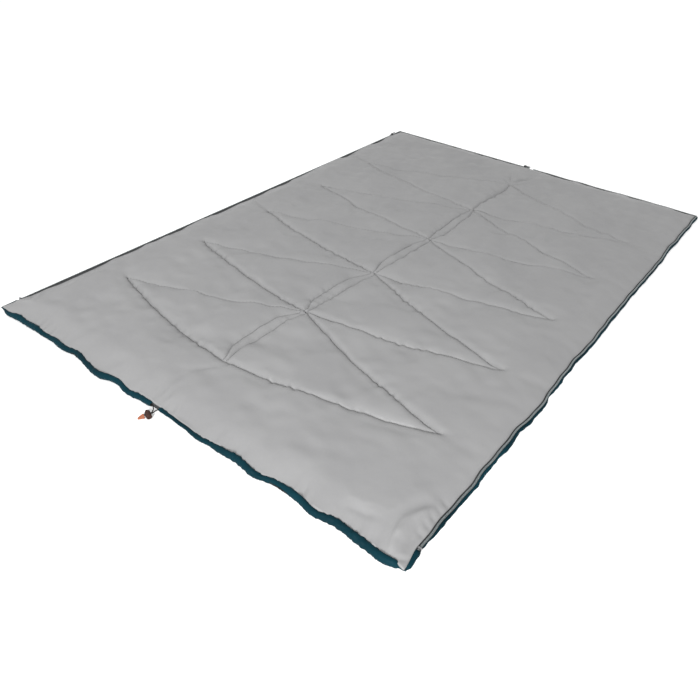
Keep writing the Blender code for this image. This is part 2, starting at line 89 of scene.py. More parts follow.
@dataclass(frozen=True)
class BagSizes:
    """Sizes that several pieces share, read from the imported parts.

    Attributes:
        half_width: Half the opened width.
        head: Y of the shell's head edge, inside the hem.
        foot: Y of the foot edge.
        tape_top: Height of the zip tape's upper face.
        lining_inset: How far in from the outer edge the lining starts.
        loft: Height of the filled quilt.
        hem_y: Y of the middle of the head hem.
        hem_z: Height of the middle of the head hem.
    """

    half_width: float
    head: float
    foot: float
    tape_bottom: float
    tape_top: float
    coil_top: float
    lining_inset: float
    loft: float
    hem_y: float
    hem_z: float
    hem_depth: float
    hem_height: float

    @classmethod
    def from_frame(cls) -> "BagSizes":
        """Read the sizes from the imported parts' boxes.

        Returns:
            The shared sizes.
        """
        shell_low, shell_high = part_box("shell_right")
        _, lining_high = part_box("lining_right")
        tape_low, tape_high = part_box("zip_tape_side_right")
        _, coil_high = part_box("zip_coil_side_right")
        hem_low, hem_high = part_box("head_hem_right")
        return cls(
            half_width=shell_high.x,
            head=shell_low.y,
            foot=shell_high.y,
            tape_bottom=tape_low.z,
            tape_top=tape_high.z,
            coil_top=coil_high.z,
            lining_inset=shell_high.x - lining_high.x,
            loft=lining_high.z,
            hem_y=(hem_low.y + hem_high.y) / 2,
            hem_z=(hem_low.z + hem_high.z) / 2,
            hem_depth=hem_high.y - hem_low.y,
            hem_height=hem_high.z - hem_low.z,
        )


SIZES = BagSizes.from_frame()


# --------------------------------------------------------------------------------------
# Finishes
# --------------------------------------------------------------------------------------


class NodeDesk:
    """Adds and joins the shader nodes of one material."""

    def __init__(self, name: str) -> None:
        """Start an empty Principled material.

        Args:
            name: The material's name.
        """
        self.material = bpy.data.materials.new(name)
        self.material.use_nodes = True
        self.tree = self.material.node_tree
        self.shader = self.tree.nodes["Principled BSDF"]
        self.place = self.add("ShaderNodeTexCoord").outputs["Object"]

    def add(self, kind: str, settings: dict | None = None, **inputs: object) -> bpy.types.Node:
        """Add one node.

        Args:
            kind: The node's type.
            settings: Attributes to set on the node.
            **inputs: Values or sockets for its inputs, with _ for a space.

        Returns:
            The new node.
        """
        node = self.tree.nodes.new(kind)
        for key, value in (settings or {}).items():
            setattr(node, key, value)
        for key, value in inputs.items():
            self.feed(node.inputs[key.replace("_", " ")], value)
        return node

    def feed(self, socket: bpy.types.NodeSocket, value: object) -> None:
        """Set or link one input."""
        if isinstance(value, bpy.types.NodeSocket):
            self.tree.links.new(value, socket)
        else:
            socket.default_value = value

    def turned(self, angle: float, stretch: Sequence[float] = (1.0, 1.0, 1.0)) -> bpy.types.NodeSocket:
        """Object coordinates turned about Z and scaled.

        Args:
            angle: The turn in degrees.
            stretch: The scale along each axis.

        Returns:
            The vector socket.
        """
        node = self.add("ShaderNodeMapping", Vector=self.place)
        node.inputs["Rotation"].default_value = (0.0, 0.0, math.radians(angle))
        node.inputs["Scale"].default_value = stretch
        return node.outputs["Vector"]

    def noise(self, scale: float, detail: float = 2.0, vector: bpy.types.NodeSocket | None = None,
              roughness: float = 0.5) -> bpy.types.NodeSocket:
        """A noise pattern's factor."""
        node = self.add("ShaderNodeTexNoise", Vector=vector or self.place, Scale=scale, Detail=detail,
                        Roughness=roughness)
        return node.outputs["Fac"]

    def thread(self, pitch: float, along: str, vector: bpy.types.NodeSocket | None = None
               ) -> bpy.types.NodeSocket:
        """Fine parallel ridges, one for each thread.

        Args:
            pitch: Distance from thread to thread.
            along: The axis that the ridges repeat along, X, Y or Z.
            vector: The coordinates, or None for the object's own.

        Returns:
            The ridge height's socket.
        """
        node = self.add("ShaderNodeTexWave", {"wave_type": "BANDS", "bands_direction": along},
                        Vector=vector or self.place, Scale=math.pi / 10 / pitch, Distortion=0.6,
                        Detail=1.0)
        return node.outputs["Fac"]

    def maths(self, operation: str, first: object, second: object) -> bpy.types.NodeSocket:
        """One sum of two values."""
        node = self.add("ShaderNodeMath", {"operation": operation})
        self.feed(node.inputs[0], first)
        self.feed(node.inputs[1], second)
        return node.outputs[0]

    def between(self, factor: bpy.types.NodeSocket, low: float, high: float,
                from_low: float = 0.3, from_high: float = 0.7) -> bpy.types.NodeSocket:
        """Spread a pattern between two values."""
        node = self.add("ShaderNodeMapRange", Value=factor, From_Min=from_low, From_Max=from_high,
                        To_Min=low, To_Max=high)
        return node.outputs["Result"]

    def tint(self, factor: bpy.types.NodeSocket, first: Colour, second: Colour) -> bpy.types.NodeSocket:
        """A colour that goes from first to second with a pattern."""
        node = self.add("ShaderNodeMix", {"data_type": "RGBA"})
        self.feed(node.inputs[0], factor)
        self.feed(node.inputs[6], (*first, 1.0))
        self.feed(node.inputs[7], (*second, 1.0))
        return node.outputs[2]

    def bump(self, height: bpy.types.NodeSocket, distance: float, strength: float,
             under: bpy.types.NodeSocket | None = None) -> bpy.types.NodeSocket:
        """A bump on top of another one.

        Args:
            height: The pattern that is raised.
            distance: How far it is raised, in metres.
            strength: How strongly it shows, 0 to 1.
            under: The normal that it is added to.

        Returns:
            The new normal's socket.
        """
        node = self.add("ShaderNodeBump", Height=height, Distance=distance, Strength=strength)
        if under is not None:
            self.feed(node.inputs["Normal"], under)
        return node.outputs["Normal"]

    def finish(self, **inputs: object) -> bpy.types.Material:
        """Set the shader's inputs and return the material."""
        for key, value in inputs.items():
            self.feed(self.shader.inputs[key.replace("_", " ")], value)
        return self.material


@dataclass(frozen=True)
class WovenCloth:
    """A woven polyester cloth.

    Attributes:
        name: The material's name.
        colour: The usual colour.
        shade: The colour in its darker patches.
        pitch: Distance from thread to thread.
        roughness: The lowest and highest roughness.
        crumple: How strongly small creases show, 0 to 1.
        sheen: How much soft light the fibres catch.
    """

    name: str
    colour: Colour
    shade: Colour
    pitch: float
    roughness: tuple[float, float]
    crumple: float
    sheen: float
    gloss: float

    def make(self) -> bpy.types.Material:
        """Build the material.

        Returns:
            The cloth's material.
        """
        desk = NodeDesk(self.name)
        patches = desk.noise(5.0, 3.0)
        weave = desk.maths("MULTIPLY", desk.thread(self.pitch, "X"), desk.thread(self.pitch, "Y"))
        fine = desk.noise(900.0, 1.0)
        creases = desk.add("ShaderNodeTexNoise", {"noise_type": "RIDGED_MULTIFRACTAL"},
                           Vector=desk.turned(24.0, (1.0, 1.7, 1.0)), Scale=11.0, Detail=3.0,
                           Roughness=0.42).outputs["Fac"]
        tone = desk.maths("ADD", desk.maths("MULTIPLY", patches, 0.8), desk.maths("MULTIPLY", fine, 0.2))
        colour = desk.tint(desk.between(tone, 0.0, 1.0), self.shade, self.colour)
        normal = desk.bump(creases, 0.004, self.crumple)
        normal = desk.bump(desk.noise(42.0, 3.0), 0.0022, self.crumple * 0.8, normal)
        normal = desk.bump(weave, 0.0001, 0.35, normal)
        return desk.finish(
            Base_Color=colour,
            Roughness=desk.between(desk.noise(23.0, 3.0), *self.roughness),
            Normal=normal,
            Sheen_Weight=self.sheen,
            Sheen_Roughness=0.45,
            Specular_IOR_Level=self.gloss,
        )


@dataclass(frozen=True)
class CordYarn:
    """A braided cord or a sewing thread, with slanting strands."""

    name: str
    colour: Colour
    shade: Colour
    pitch: float

    def make(self) -> bpy.types.Material:
        """Build the material."""
        desk = NodeDesk(self.name)
        one_way = desk.thread(self.pitch, "DIAGONAL")
        other_way = desk.thread(self.pitch, "DIAGONAL", desk.turned(90.0))
        braid = desk.maths("MAXIMUM", one_way, other_way)
        colour = desk.tint(desk.between(braid, 0.0, 1.0), self.shade, self.colour)
        return desk.finish(
            Base_Color=colour,
            Roughness=desk.between(desk.noise(700.0), 0.72, 0.9),
            Normal=desk.bump(braid, 0.0003, 0.8),
            Specular_IOR_Level=0.12,
        )


@dataclass(frozen=True)
class MouldedPlastic:
    """Injection-moulded plastic with a fine grain and rubbed patches."""

    name: str
    colour: Colour
    worn: Colour
    roughness: tuple[float, float]

    def make(self) -> bpy.types.Material:
        """Build the material."""
        desk = NodeDesk(self.name)
        grain = desk.noise(2600.0, 3.0)
        rubbed = desk.noise(120.0, 4.0)
        edges = desk.add("ShaderNodeNewGeometry").outputs["Pointiness"]
        wear = desk.maths("MULTIPLY", desk.between(edges, 0.0, 1.0, 0.51, 0.58), rubbed)
        return desk.finish(
            Base_Color=desk.tint(wear, self.colour, self.worn),
            Roughness=desk.between(rubbed, *self.roughness),
            Normal=desk.bump(grain, 0.00008, 0.5),
            Specular_IOR_Level=0.12,
        )


@dataclass(frozen=True)
class PaintedMetal:
    """Die-cast metal with dark plating that is rubbed bright along its edges."""

    name: str
    colour: Colour
    bright: Colour
    roughness: tuple[float, float]

    def make(self) -> bpy.types.Material:
        """Build the material."""
        desk = NodeDesk(self.name)
        scratches = desk.noise(300.0, 4.0, desk.turned(35.0, (1.0, 9.0, 1.0)))
        edges = desk.add("ShaderNodeNewGeometry").outputs["Pointiness"]
        wear = desk.maths("MULTIPLY", desk.between(edges, 0.0, 1.0, 0.5, 0.6), scratches)
        return desk.finish(
            Base_Color=desk.tint(wear, self.colour, self.bright),
            Metallic=1.0,
            Roughness=desk.between(scratches, *self.roughness),
            Normal=desk.bump(scratches, 0.00005, 0.4),
        )


@dataclass
class Finishes:
    """Every finish on the bag, made once."""

    lining: bpy.types.Material = field(default_factory=lambda: WovenCloth(
        "lining_satin", (0.212, 0.212, 0.213), (0.190, 0.190, 0.192), 0.0006, (0.42, 0.54), 0.42, 0.0,
        0.28).make())
    shell: bpy.types.Material = field(default_factory=lambda: WovenCloth(
        "shell_taffeta", (0.0012, 0.023, 0.033), (0.0008, 0.011, 0.016), 0.0007, (0.55, 0.72), 0.45, 0.0,
        0.06).make())
    tape: bpy.types.Material = field(default_factory=lambda: WovenCloth(
        "zip_tape_weave", (0.036, 0.037, 0.038), (0.020, 0.021, 0.022), 0.0009, (0.62, 0.80), 0.10, 0.0,
        0.20).make())
    coil: bpy.types.Material = field(default_factory=lambda: MouldedPlastic(
        "zip_coil_nylon", (0.135, 0.160, 0.165), (0.24, 0.26, 0.26), (0.32, 0.46)).make())
    cord: bpy.types.Material = field(default_factory=lambda: CordYarn(
        "drawcord_braid", (0.020, 0.018, 0.017), (0.005, 0.005, 0.005), 0.0012).make())
    # Painted shade: the thread is far darker than the grey lining; it is partly real thread and partly
    # paints the shade of the sewn grooves.
    thread: bpy.types.Material = field(default_factory=lambda: CordYarn(
        "thread_dark_as_painted_seam_shade", (0.030, 0.030, 0.031), (0.014, 0.014, 0.015), 0.0006).make())
    lock: bpy.types.Material = field(default_factory=lambda: MouldedPlastic(
        "lock_plastic_brown", (0.012, 0.0045, 0.0035), (0.05, 0.022, 0.016), (0.42, 0.58)).make())
    end: bpy.types.Material = field(default_factory=lambda: MouldedPlastic(
        "end_plastic_orange", (0.21, 0.062, 0.030), (0.30, 0.12, 0.07), (0.45, 0.60)).make())
    metal: bpy.types.Material = field(default_factory=lambda: PaintedMetal(
        "gunmetal", (0.055, 0.056, 0.060), (0.45, 0.45, 0.46), (0.28, 0.50)).make())
    steel: bpy.types.Material = field(default_factory=lambda: PaintedMetal(
        "spring_steel", (0.50, 0.50, 0.50), (0.80, 0.80, 0.80), (0.18, 0.35)).make())


# --------------------------------------------------------------------------------------
# Shared shape tools
# --------------------------------------------------------------------------------------


class Waves:
    """A smooth random pattern: a sum of sine waves with seeded directions and phases."""

    def __init__(self, seed: int, shortest: float, longest: float, count: int = 14) -> None:
        """Choose the waves.

        Args:
            seed: The random seed.
            shortest: The shortest wavelength.
            longest: The longest wavelength.
            count: How many waves are added.
        """
        rng = np.random.default_rng(seed)
        angles = rng.uniform(0.0, math.pi, count)
        numbers = 2 * math.pi / rng.uniform(shortest, longest, count)
        self.kx = numbers * np.cos(angles)
        self.ky = numbers * np.sin(angles)
        self.phase = rng.uniform(0.0, 2 * math.pi, count)
        self.scale = math.sqrt(2.0 / count)

    def at(self, x: np.ndarray | float, y: np.ndarray | float = 0.0) -> np.ndarray:
        """The pattern's height, mostly between -1 and 1.

        Args:
            x: X of each point.
            y: Y of each point.

        Returns:
            The height at each point.
        """
        x, y = np.asarray(x, float), np.asarray(y, float)
        total = np.zeros(np.broadcast(x, y).shape)
        for kx, ky, phase in zip(self.kx, self.ky, self.phase):
            total = total + np.sin(kx * x + ky * y + phase)
        return total * self.scale


class Side(Enum):
    """The four edges of the opened bag."""

    LEFT = "left"
    RIGHT = "right"
    FOOT = "foot"
    HEAD = "head"

    def matrix(self) -> Matrix:
        """Local X runs along the edge, local Y in from it, and Z up.

        Returns:
            The matrix from the edge's own directions to the bag's.
        """
        w, foot, head = SIZES.half_width, SIZES.foot, SIZES.head
        rows = {
            Side.LEFT: ((0, 1, 0, -w), (1, 0, 0, 0)),
            Side.RIGHT: ((0, -1, 0, w), (1, 0, 0, 0)),
            Side.FOOT: ((1, 0, 0, 0), (0, -1, 0, foot)),
            Side.HEAD: ((1, 0, 0, 0), (0, 1, 0, head)),
        }[self]
        return Matrix((*rows, (0, 0, 1, 0), (0, 0, 0, 1)))


@dataclass
class EdgeWander:
    """How the soft edges of the bag stray from straight lines.

    The left half's zip edges stay straight, because its sliders run along them.
    """

    right: float = 0.0040
    calm_right: float = 0.0022
    foot: float = 0.0026
    head: float = 0.0034
    cord_x: float = -0.027
    fade: float = 0.070
    reach: float = 0.150
    notch: float = 0.0085
    notch_width: float = 0.016
    long_wave: Waves = field(default_factory=lambda: Waves(5, 0.26, 0.62, 6))
    short_wave: Waves = field(default_factory=lambda: Waves(9, 0.09, 0.20, 7))

    def shift(self, points: np.ndarray) -> np.ndarray:
        """Move points near the edges with the edges.

        Args:
            points: One row of x, y and z for each point.

        Returns:
            The moved points.
        """
        x, y, z = points.T
        from_foot, from_head = SIZES.foot - y, y - SIZES.head
        ends = smoothstep((from_foot - 0.02) / self.fade) * smoothstep((from_head - 0.05) / self.fade)
        pattern = 0.7 * self.long_wave.at(y) + 0.5 * self.short_wave.at(y)
        near = smoothstep((x - SIZES.half_width + self.reach) / self.reach)
        size = self.calm_right + (self.right - self.calm_right) * smoothstep((0.25 - y) / 0.5)
        dx = size * pattern * near * ends
        sides = smoothstep((SIZES.half_width - x - 0.02) / self.fade)
        sides = sides * smoothstep((x - 0.05) / self.fade)
        pattern = 0.6 * self.long_wave.at(x + 3.0) + 0.6 * self.short_wave.at(x + 3.0)
        near = smoothstep(1.0 - from_foot / self.reach)
        dy = self.foot * pattern * near * sides
        calm = smoothstep((np.abs(x - self.cord_x) - 0.05) / 0.06)
        calm = calm * smoothstep((0.748 - np.abs(x)) / 0.05)
        pattern = 0.5 * self.long_wave.at(x + 7.0) + 0.8 * self.short_wave.at(x + 7.0)
        dy = dy + self.head * pattern * calm * smoothstep(1.0 - (from_head - 0.01) / self.reach)
        notch = self.notch * np.exp(-((x / self.notch_width) ** 2))
        dy = dy - notch * smoothstep(1.0 - from_foot / 0.06)
        return np.stack([x + dx, y + dy, z], axis=1)


WANDER = EdgeWander()


def finish_piece(name: str, shape: bmesh.types.BMesh, material: bpy.types.Material,
                 sharp: float = 40.0) -> bpy.types.Object:
    """Turn a bmesh into a smooth-shaded piece at the origin.

    Args:
        name: The piece's name.
        shape: The mesh, which is freed.
        material: Its finish.
        sharp: Edges over this angle in degrees stay crisp.

    Returns:
        The new object.
    """
    bmesh.ops.recalc_face_normals(shape, faces=shape.faces)
    mesh = bpy.data.meshes.new(name)
    shape.to_mesh(mesh)
    shape.free()
    mesh.materials.append(material)
    mesh.shade_smooth()
    mesh.set_sharp_from_angle(angle=math.radians(sharp))
    piece = bpy.data.objects.new(name, mesh)
    bpy.context.scene.collection.objects.link(piece)
    return piece


def points_of(shape: bmesh.types.BMesh) -> np.ndarray:
    """The places of a bmesh's vertices."""
    return np.array([vert.co[:] for vert in shape.verts], float)


def place_points(shape: bmesh.types.BMesh, points: np.ndarray) -> None:
    """Set the places of a bmesh's vertices."""
    for vert, point in zip(shape.verts, points):
        vert.co = point


def slice_at_fold(shape: bmesh.types.BMesh) -> None:
    """Cut lines into a mesh near X = 0, so that it can bend smoothly along the fold."""
    for step in range(FOLD_SLICES):
        x = FOLD_REACH * (2 * step / (FOLD_SLICES - 1) - 1)
        everything = shape.verts[:] + shape.edges[:] + shape.faces[:]
        bmesh.ops.bisect_plane(shape, geom=everything, plane_co=(x, 0, 0), plane_no=(1, 0, 0), dist=1e-5)


def bend_at_fold(piece: bpy.types.Object) -> None:
    """Bake a piece's placement into its mesh."""
    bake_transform(piece)


def sweep(side: Side, stations: Sequence[float], section: Callable[[float], Profile]
          ) -> bmesh.types.BMesh:
    """Sweep a changing closed section along one edge of the bag, with both ends closed.

    Args:
        side: The edge.
        stations: Places along the edge.
        section: Gives the (u, z) points of the section at a place, u being the way in.

    Returns:
        The closed mesh.
    """
    shape = bmesh.new()
    first = section(stations[0])
    ring = [shape.verts.new((stations[0], u, z)) for u, z in first]
    edges = [shape.edges.new(pair) for pair in zip(ring, ring[1:] + ring[:1])]
    shape.faces.new(ring)
    for place in stations[1:]:
        made = bmesh.ops.extrude_edge_only(shape, edges=edges)["geom"]
        edges = [item for item in made if isinstance(item, bmesh.types.BMEdge)
                 and not any(vert in ring for vert in item.verts)]
        following = []
        for vert, (u, z) in zip(ring, section(place)):
            partner = next(edge.other_vert(vert) for edge in vert.link_edges
                           if edge.other_vert(vert) not in ring and edge.other_vert(vert).co == vert.co)
            following.append(partner)
        for vert, (u, z) in zip(following, section(place)):
            vert.co = (place, u, z)
        ring = following
    shape.faces.new(ring)
    bmesh.ops.transform(shape, matrix=side.matrix(), verts=shape.verts)
    return shape


def along(start: float, end: float, step: float) -> list[float]:
    """Evenly spaced places from start to end."""
    count = max(1, round(abs(end - start) / step))
    return [start + (end - start) * index / count for index in range(count + 1)]


def tube_mesh(name: str, lines: Sequence[Sequence[Vector]], radius: float, sides: int,
              material: bpy.types.Material) -> bpy.types.Object:
    """Many thin tubes as one mesh.

    Args:
        name: The piece's name.
        lines: The points of each tube.
        radius: The tubes' radius.
        sides: 0 for square tubes, 1 for eight-sided and so on.
        material: The finish.

    Returns:
        The new object.
    """
    data = bpy.data.curves.new(name, "CURVE")
    data.dimensions = "3D"
    data.bevel_depth = radius
    data.bevel_resolution = sides
    data.use_fill_caps = True
    for line in lines:
        spline = data.splines.new("POLY")
        spline.points.add(len(line) - 1)
        spline.points.foreach_set("co", [value for point in line for value in (*point, 1.0)])
    guide = bpy.data.objects.new(name + "_guide", data)
    mesh = bpy.data.meshes.new_from_object(guide)
    bpy.data.objects.remove(guide)
    bpy.data.curves.remove(data)
    mesh.name = name
    mesh.materials.clear()
    mesh.materials.append(material)
    mesh.shade_smooth()
    piece = bpy.data.objects.new(name, mesh)
    bpy.context.scene.collection.objects.link(piece)
    return piece


def report(piece: bpy.types.Object) -> None:
    """Write one line about a finished piece to the log."""
    if piece.type == "MESH":
        LOG.info("%s: %d faces", piece.name, len(piece.data.polygons))
    else:
        LOG.info("%s: a curve", piece.name)


# --------------------------------------------------------------------------------------
# The quilting
# --------------------------------------------------------------------------------------


@dataclass
class Quilting:
    """The lines that are sewn through the quilt.

    On each half a thread runs in a zigzag between the fold and a row of outer points. The legs bow
    towards the head. Two lines run beside the fold.
    """

    node_x: tuple[float, ...] = (-0.024, -0.011, 0.010, 0.022, 0.018, 0.020)
    band_x: tuple[tuple[float, float], ...] = ((-0.058, -0.024), (-0.036, 0.002), (-0.008, 0.026),
                                               (0.006, 0.042))
    first_node: float = 0.246
    pitch: float = 0.337
    outer_x: tuple[float, float] = (-0.585, 0.602)
    outer_lead: tuple[float, float] = (0.060, 0.031)
    bow: float = 0.017
    step: float = 0.0005
    stitch: float = 0.0042
    points: list[Vector] = field(default_factory=list)
    depth: list[float] = field(default_factory=list)
    lines: list[list[Vector]] = field(default_factory=list)
    tree: KDTree | None = None

    def node(self, number: int) -> Vector:
        """The place of a node on the fold, counted from 0 at the head."""
        return Vector((self.node_x[number], -SIZES.foot + self.first_node + self.pitch * number, 0.0))

    def outer(self, number: int, sign: int) -> Vector:
        """The place of an outer point of the zigzag."""
        half = int(sign > 0)
        y = -SIZES.foot + self.first_node + self.pitch * (number + 0.5) - self.outer_lead[half]
        return Vector((self.outer_x[half], y, 0.0))

    def leg(self, start: Vector, end: Vector, depth: float, bow: float = 0.0, sway: float = 0.0,
            wobble: float = 0.0) -> None:
        """Add one line of stitches.

        Args:
            start: Where it starts.
            end: Where it ends.
            depth: How deep it pulls the quilt in, as a share of the deepest.
            bow: How far its middle sits towards the head.
            sway: How far its middle sits to the right.
            wobble: How far it strays.
        """
        count = max(2, int((end - start).length / self.step))
        phase = start.x * 17.0 + start.y * 29.0 + end.x * 7.0
        line = []
        for index in range(count + 1):
            t = index / count
            point = start.lerp(end, t)
            point.y -= bow * 4 * t * (1 - t)
            point.x += sway * float(smoothstep(min(t, 1 - t) / 0.24))
            stray = math.sin(5.1 * math.pi * t + phase) + 0.6 * math.sin(11.3 * math.pi * t + 2 * phase)
            point.y += wobble * stray * math.sin(math.pi * t)
            line.append(point)
            self.points.append(point)
            self.depth.append(depth)
        self.lines.append(line)

    def lay_out(self) -> None:
        """Work out every line and make the tree that finds the nearest one."""
        out = {-1: (1.0, 1.0, 1.0, 0.9, 0.9), 1: (1.0, 1.0, 0.75, 0.45, 0.40)}
        back = {-1: (0.32, 0.26, 0.12, 0.42, 0.16), 1: (1.0, 1.0, 1.0, 0.9, 0.6)}
        spans = len(self.node_x) - 1
        for number in range(spans):
            for sign in (-1, 1):
                outer = self.outer(number, sign)
                self.leg(self.node(number), outer, out[sign][number], self.bow, wobble=0.0012)
                self.leg(outer, self.node(number + 1), back[sign][number], self.bow, wobble=0.0012)
        for number, pair in enumerate(self.band_x):
            for sign, x in zip((-1, 1), pair):
                start = self.node(number) + Vector((0.006 * sign, 0.006, 0.0))
                end = self.node(number + 1) + Vector((0.008 * sign, -0.006, 0.0))
                self.leg(start, end, 0.60, sway=x - (start.x + end.x) / 2)
        self.leg(self.node(spans - 1), self.node(spans), 0.9, wobble=0.001)
        self.tree = KDTree(len(self.points))
        for index, point in enumerate(self.points):
            self.tree.insert(point, index)
        self.tree.balance()

    def nearest(self, points: np.ndarray) -> tuple[np.ndarray, np.ndarray, np.ndarray]:
        """Find the nearest line to each point.

        Args:
            points: One row of x, y and z for each point.

        Returns:
            The distance, the line's depth share, and how far along the lines it is.
        """
        found = [self.tree.find((x, y, 0.0)) for x, y, _ in points]
        distance = np.array([item[2] for item in found])
        index = np.array([item[1] for item in found])
        return distance, np.array(self.depth)[index], index * self.step


@dataclass
class QuiltedLining:
    """The grey lining over the wadding, quilted in zigzags, as one pad across the fold."""

    finishes: Finishes
    quilting: Quilting
    grid: float = 0.0180
    rim_z: float = 0.0140
    rim_bottom: float = 0.0122
    base_z: float = 0.0021
    slope: float = 0.055
    sewn_drop: float = 0.0046
    groove: float = 0.0066
    groove_width: float = 0.0030
    highest: float = 0.0325
    head_reach: float = 0.0140
    sim_frames: int = 20
    most_shift: float = 0.012

    def crown(self, points: np.ndarray) -> np.ndarray:
        """The height of the filled quilt before it is sewn.

        Args:
            points: One row of x, y and z for each point.

        Returns:
            The height at each point.
        """
        x, y = points[:, 0], points[:, 1]
        edge = np.minimum(SIZES.half_width - SIZES.lining_inset - np.abs(x),
                          SIZES.foot - SIZES.lining_inset - y)
        edge = np.minimum(edge, y - SIZES.head)
        rise = np.sqrt(np.clip(edge / self.slope, 0.0, 1.0))
        rise = 0.45 * rise + 0.55 * smoothstep(edge / self.slope)
        return self.rim_z + (SIZES.loft - 0.0035 - self.rim_z) * rise

    def sheet(self) -> bmesh.types.BMesh:
        """The lining as a flat grid whose nearest points are moved onto the sewn lines.

        Returns:
            The open mesh.
        """
        half_x = SIZES.half_width - SIZES.lining_inset
        low_y = SIZES.head + SIZES.lining_inset - self.head_reach
        high_y = SIZES.foot - SIZES.lining_inset
        shape = bmesh.new()
        bmesh.ops.create_grid(shape, x_segments=round(2 * half_x / self.grid),
                              y_segments=round((high_y - low_y) / self.grid), size=1.0)
        bmesh.ops.scale(shape, verts=shape.verts, vec=(half_x, (high_y - low_y) / 2, 1.0))
        bmesh.ops.translate(shape, verts=shape.verts, vec=(0.0, (high_y + low_y) / 2, 0.0))
        for vert in shape.verts:
            if vert.is_boundary:
                continue
            place, _, distance = self.quilting.tree.find((vert.co.x, vert.co.y, 0.0))
            if distance < self.grid * 0.5:
                across = 0 if abs(place.x - vert.co.x) > abs(place.y - vert.co.y) else 1
                vert.co[across] = place[across]
        bmesh.ops.remove_doubles(shape, verts=shape.verts, dist=self.grid * 0.25)
        return shape

    def build(self) -> bpy.types.Object:
        """Build the pad.

        Returns:
            The finished pad.
        """
        shape = self.sheet()
        points = points_of(shape)
        distance, depth, _ = self.quilting.nearest(points)
        sewn = distance < self.grid * 0.30
        rim = np.array([vert.is_boundary for vert in shape.verts])
        crown = self.crown(points)
        points[:, 2] = crown - np.where(sewn, self.sewn_drop * depth, 0.0)
        place_points(shape, points)
        piece = finish_piece("quilted_lining", shape, self.finishes.lining)
        self.fill(piece, sewn | rim, np.exp(-distance / 0.045))
        self.refine(piece)
        return piece

    def fill(self, piece: bpy.types.Object, held: np.ndarray, loose: np.ndarray) -> None:
        """Let the wadding push the lining up between its seams, as cloth, and keep the result.

        Args:
            piece: The flat lining.
            held: Which points are sewn down.
            loose: How much spare cloth there is at each point, 0 to 1.
        """
        group = piece.vertex_groups.new(name="sewn")
        group.add([int(index) for index in np.flatnonzero(held)], 1.0, "REPLACE")
        spare = piece.vertex_groups.new(name="spare")
        for index, weight in enumerate(loose):
            spare.add([index], float(weight), "REPLACE")
        before = np.array([vert.co[:] for vert in piece.data.vertices])
        modifier = piece.modifiers.new("fill", "CLOTH")
        cloth = modifier.settings
        cloth.vertex_group_mass = "sewn"
        cloth.quality = 4
        cloth.mass = 0.2
        cloth.tension_stiffness = 20.0
        cloth.compression_stiffness = 20.0
        cloth.shear_stiffness = 8.0
        cloth.bending_stiffness = 0.8
        cloth.air_damping = 2.0
        cloth.use_pressure = True
        cloth.uniform_pressure_force = 3.0
        cloth.vertex_group_shrink = "spare"
        cloth.shrink_min = -0.006
        cloth.shrink_max = -0.030
        cloth.effector_weights.gravity = 0.0
        modifier.collision_settings.use_collision = False
        modifier.point_cache.frame_start = 1
        modifier.point_cache.frame_end = self.sim_frames
        scene = bpy.context.scene
        for number in range(1, self.sim_frames + 1):
            scene.frame_set(number)
        graph = bpy.context.evaluated_depsgraph_get()
        mesh = bpy.data.meshes.new_from_object(piece.evaluated_get(graph))
        moved = np.array([vert.co[:] for vert in mesh.vertices]) - before
        sideways = np.linalg.norm(moved[:, :2], axis=1, keepdims=True)
        LOG.info("fill: z %.4f to %.4f, sideways up to %.4f", moved[:, 2].min(), moved[:, 2].max(),
                 sideways.max())
        moved[:, :2] *= np.minimum(1.0, self.most_shift / np.maximum(sideways, 1e-9))
        room = self.highest - before[:, 2]
        moved[:, 2] = np.where(moved[:, 2] > 0, room * np.tanh(moved[:, 2] / np.maximum(room, 1e-4)),
                               np.maximum(moved[:, 2], -0.004))
        mesh.vertices.foreach_set("co", (before + moved).astype(np.float32).ravel())
        piece.modifiers.clear()
        piece.vertex_groups.clear()
        piece.data = mesh

    def refine(self, piece: bpy.types.Object) -> None:
        """Subdivide the lining once, press the seams and puckers in, and close it to a pad.

        Args:
            piece: The filled lining.
        """
        modifier = piece.modifiers.new("finer", "SUBSURF")
        modifier.levels = modifier.render_levels = 1
        modifier.boundary_smooth = "PRESERVE_CORNERS"
        graph = bpy.context.evaluated_depsgraph_get()
        mesh = bpy.data.meshes.new_from_object(piece.evaluated_get(graph))
        piece.modifiers.clear()
        shape = bmesh.new()
        shape.from_mesh(mesh)
        self.divide_near_seams(shape)
        points = points_of(shape)
        points[:, 2] += self.creases(points)
        points[:, 2] = np.clip(points[:, 2], self.rim_bottom + 0.0008, self.highest)
        place_points(shape, points)
        self.close(shape)
        place_points(shape, WANDER.shift(self.pull_edges(points_of(shape))))
        slice_at_fold(shape)
        bmesh.ops.recalc_face_normals(shape, faces=shape.faces)
        shape.to_mesh(piece.data)
        shape.free()
        piece.data.shade_smooth()

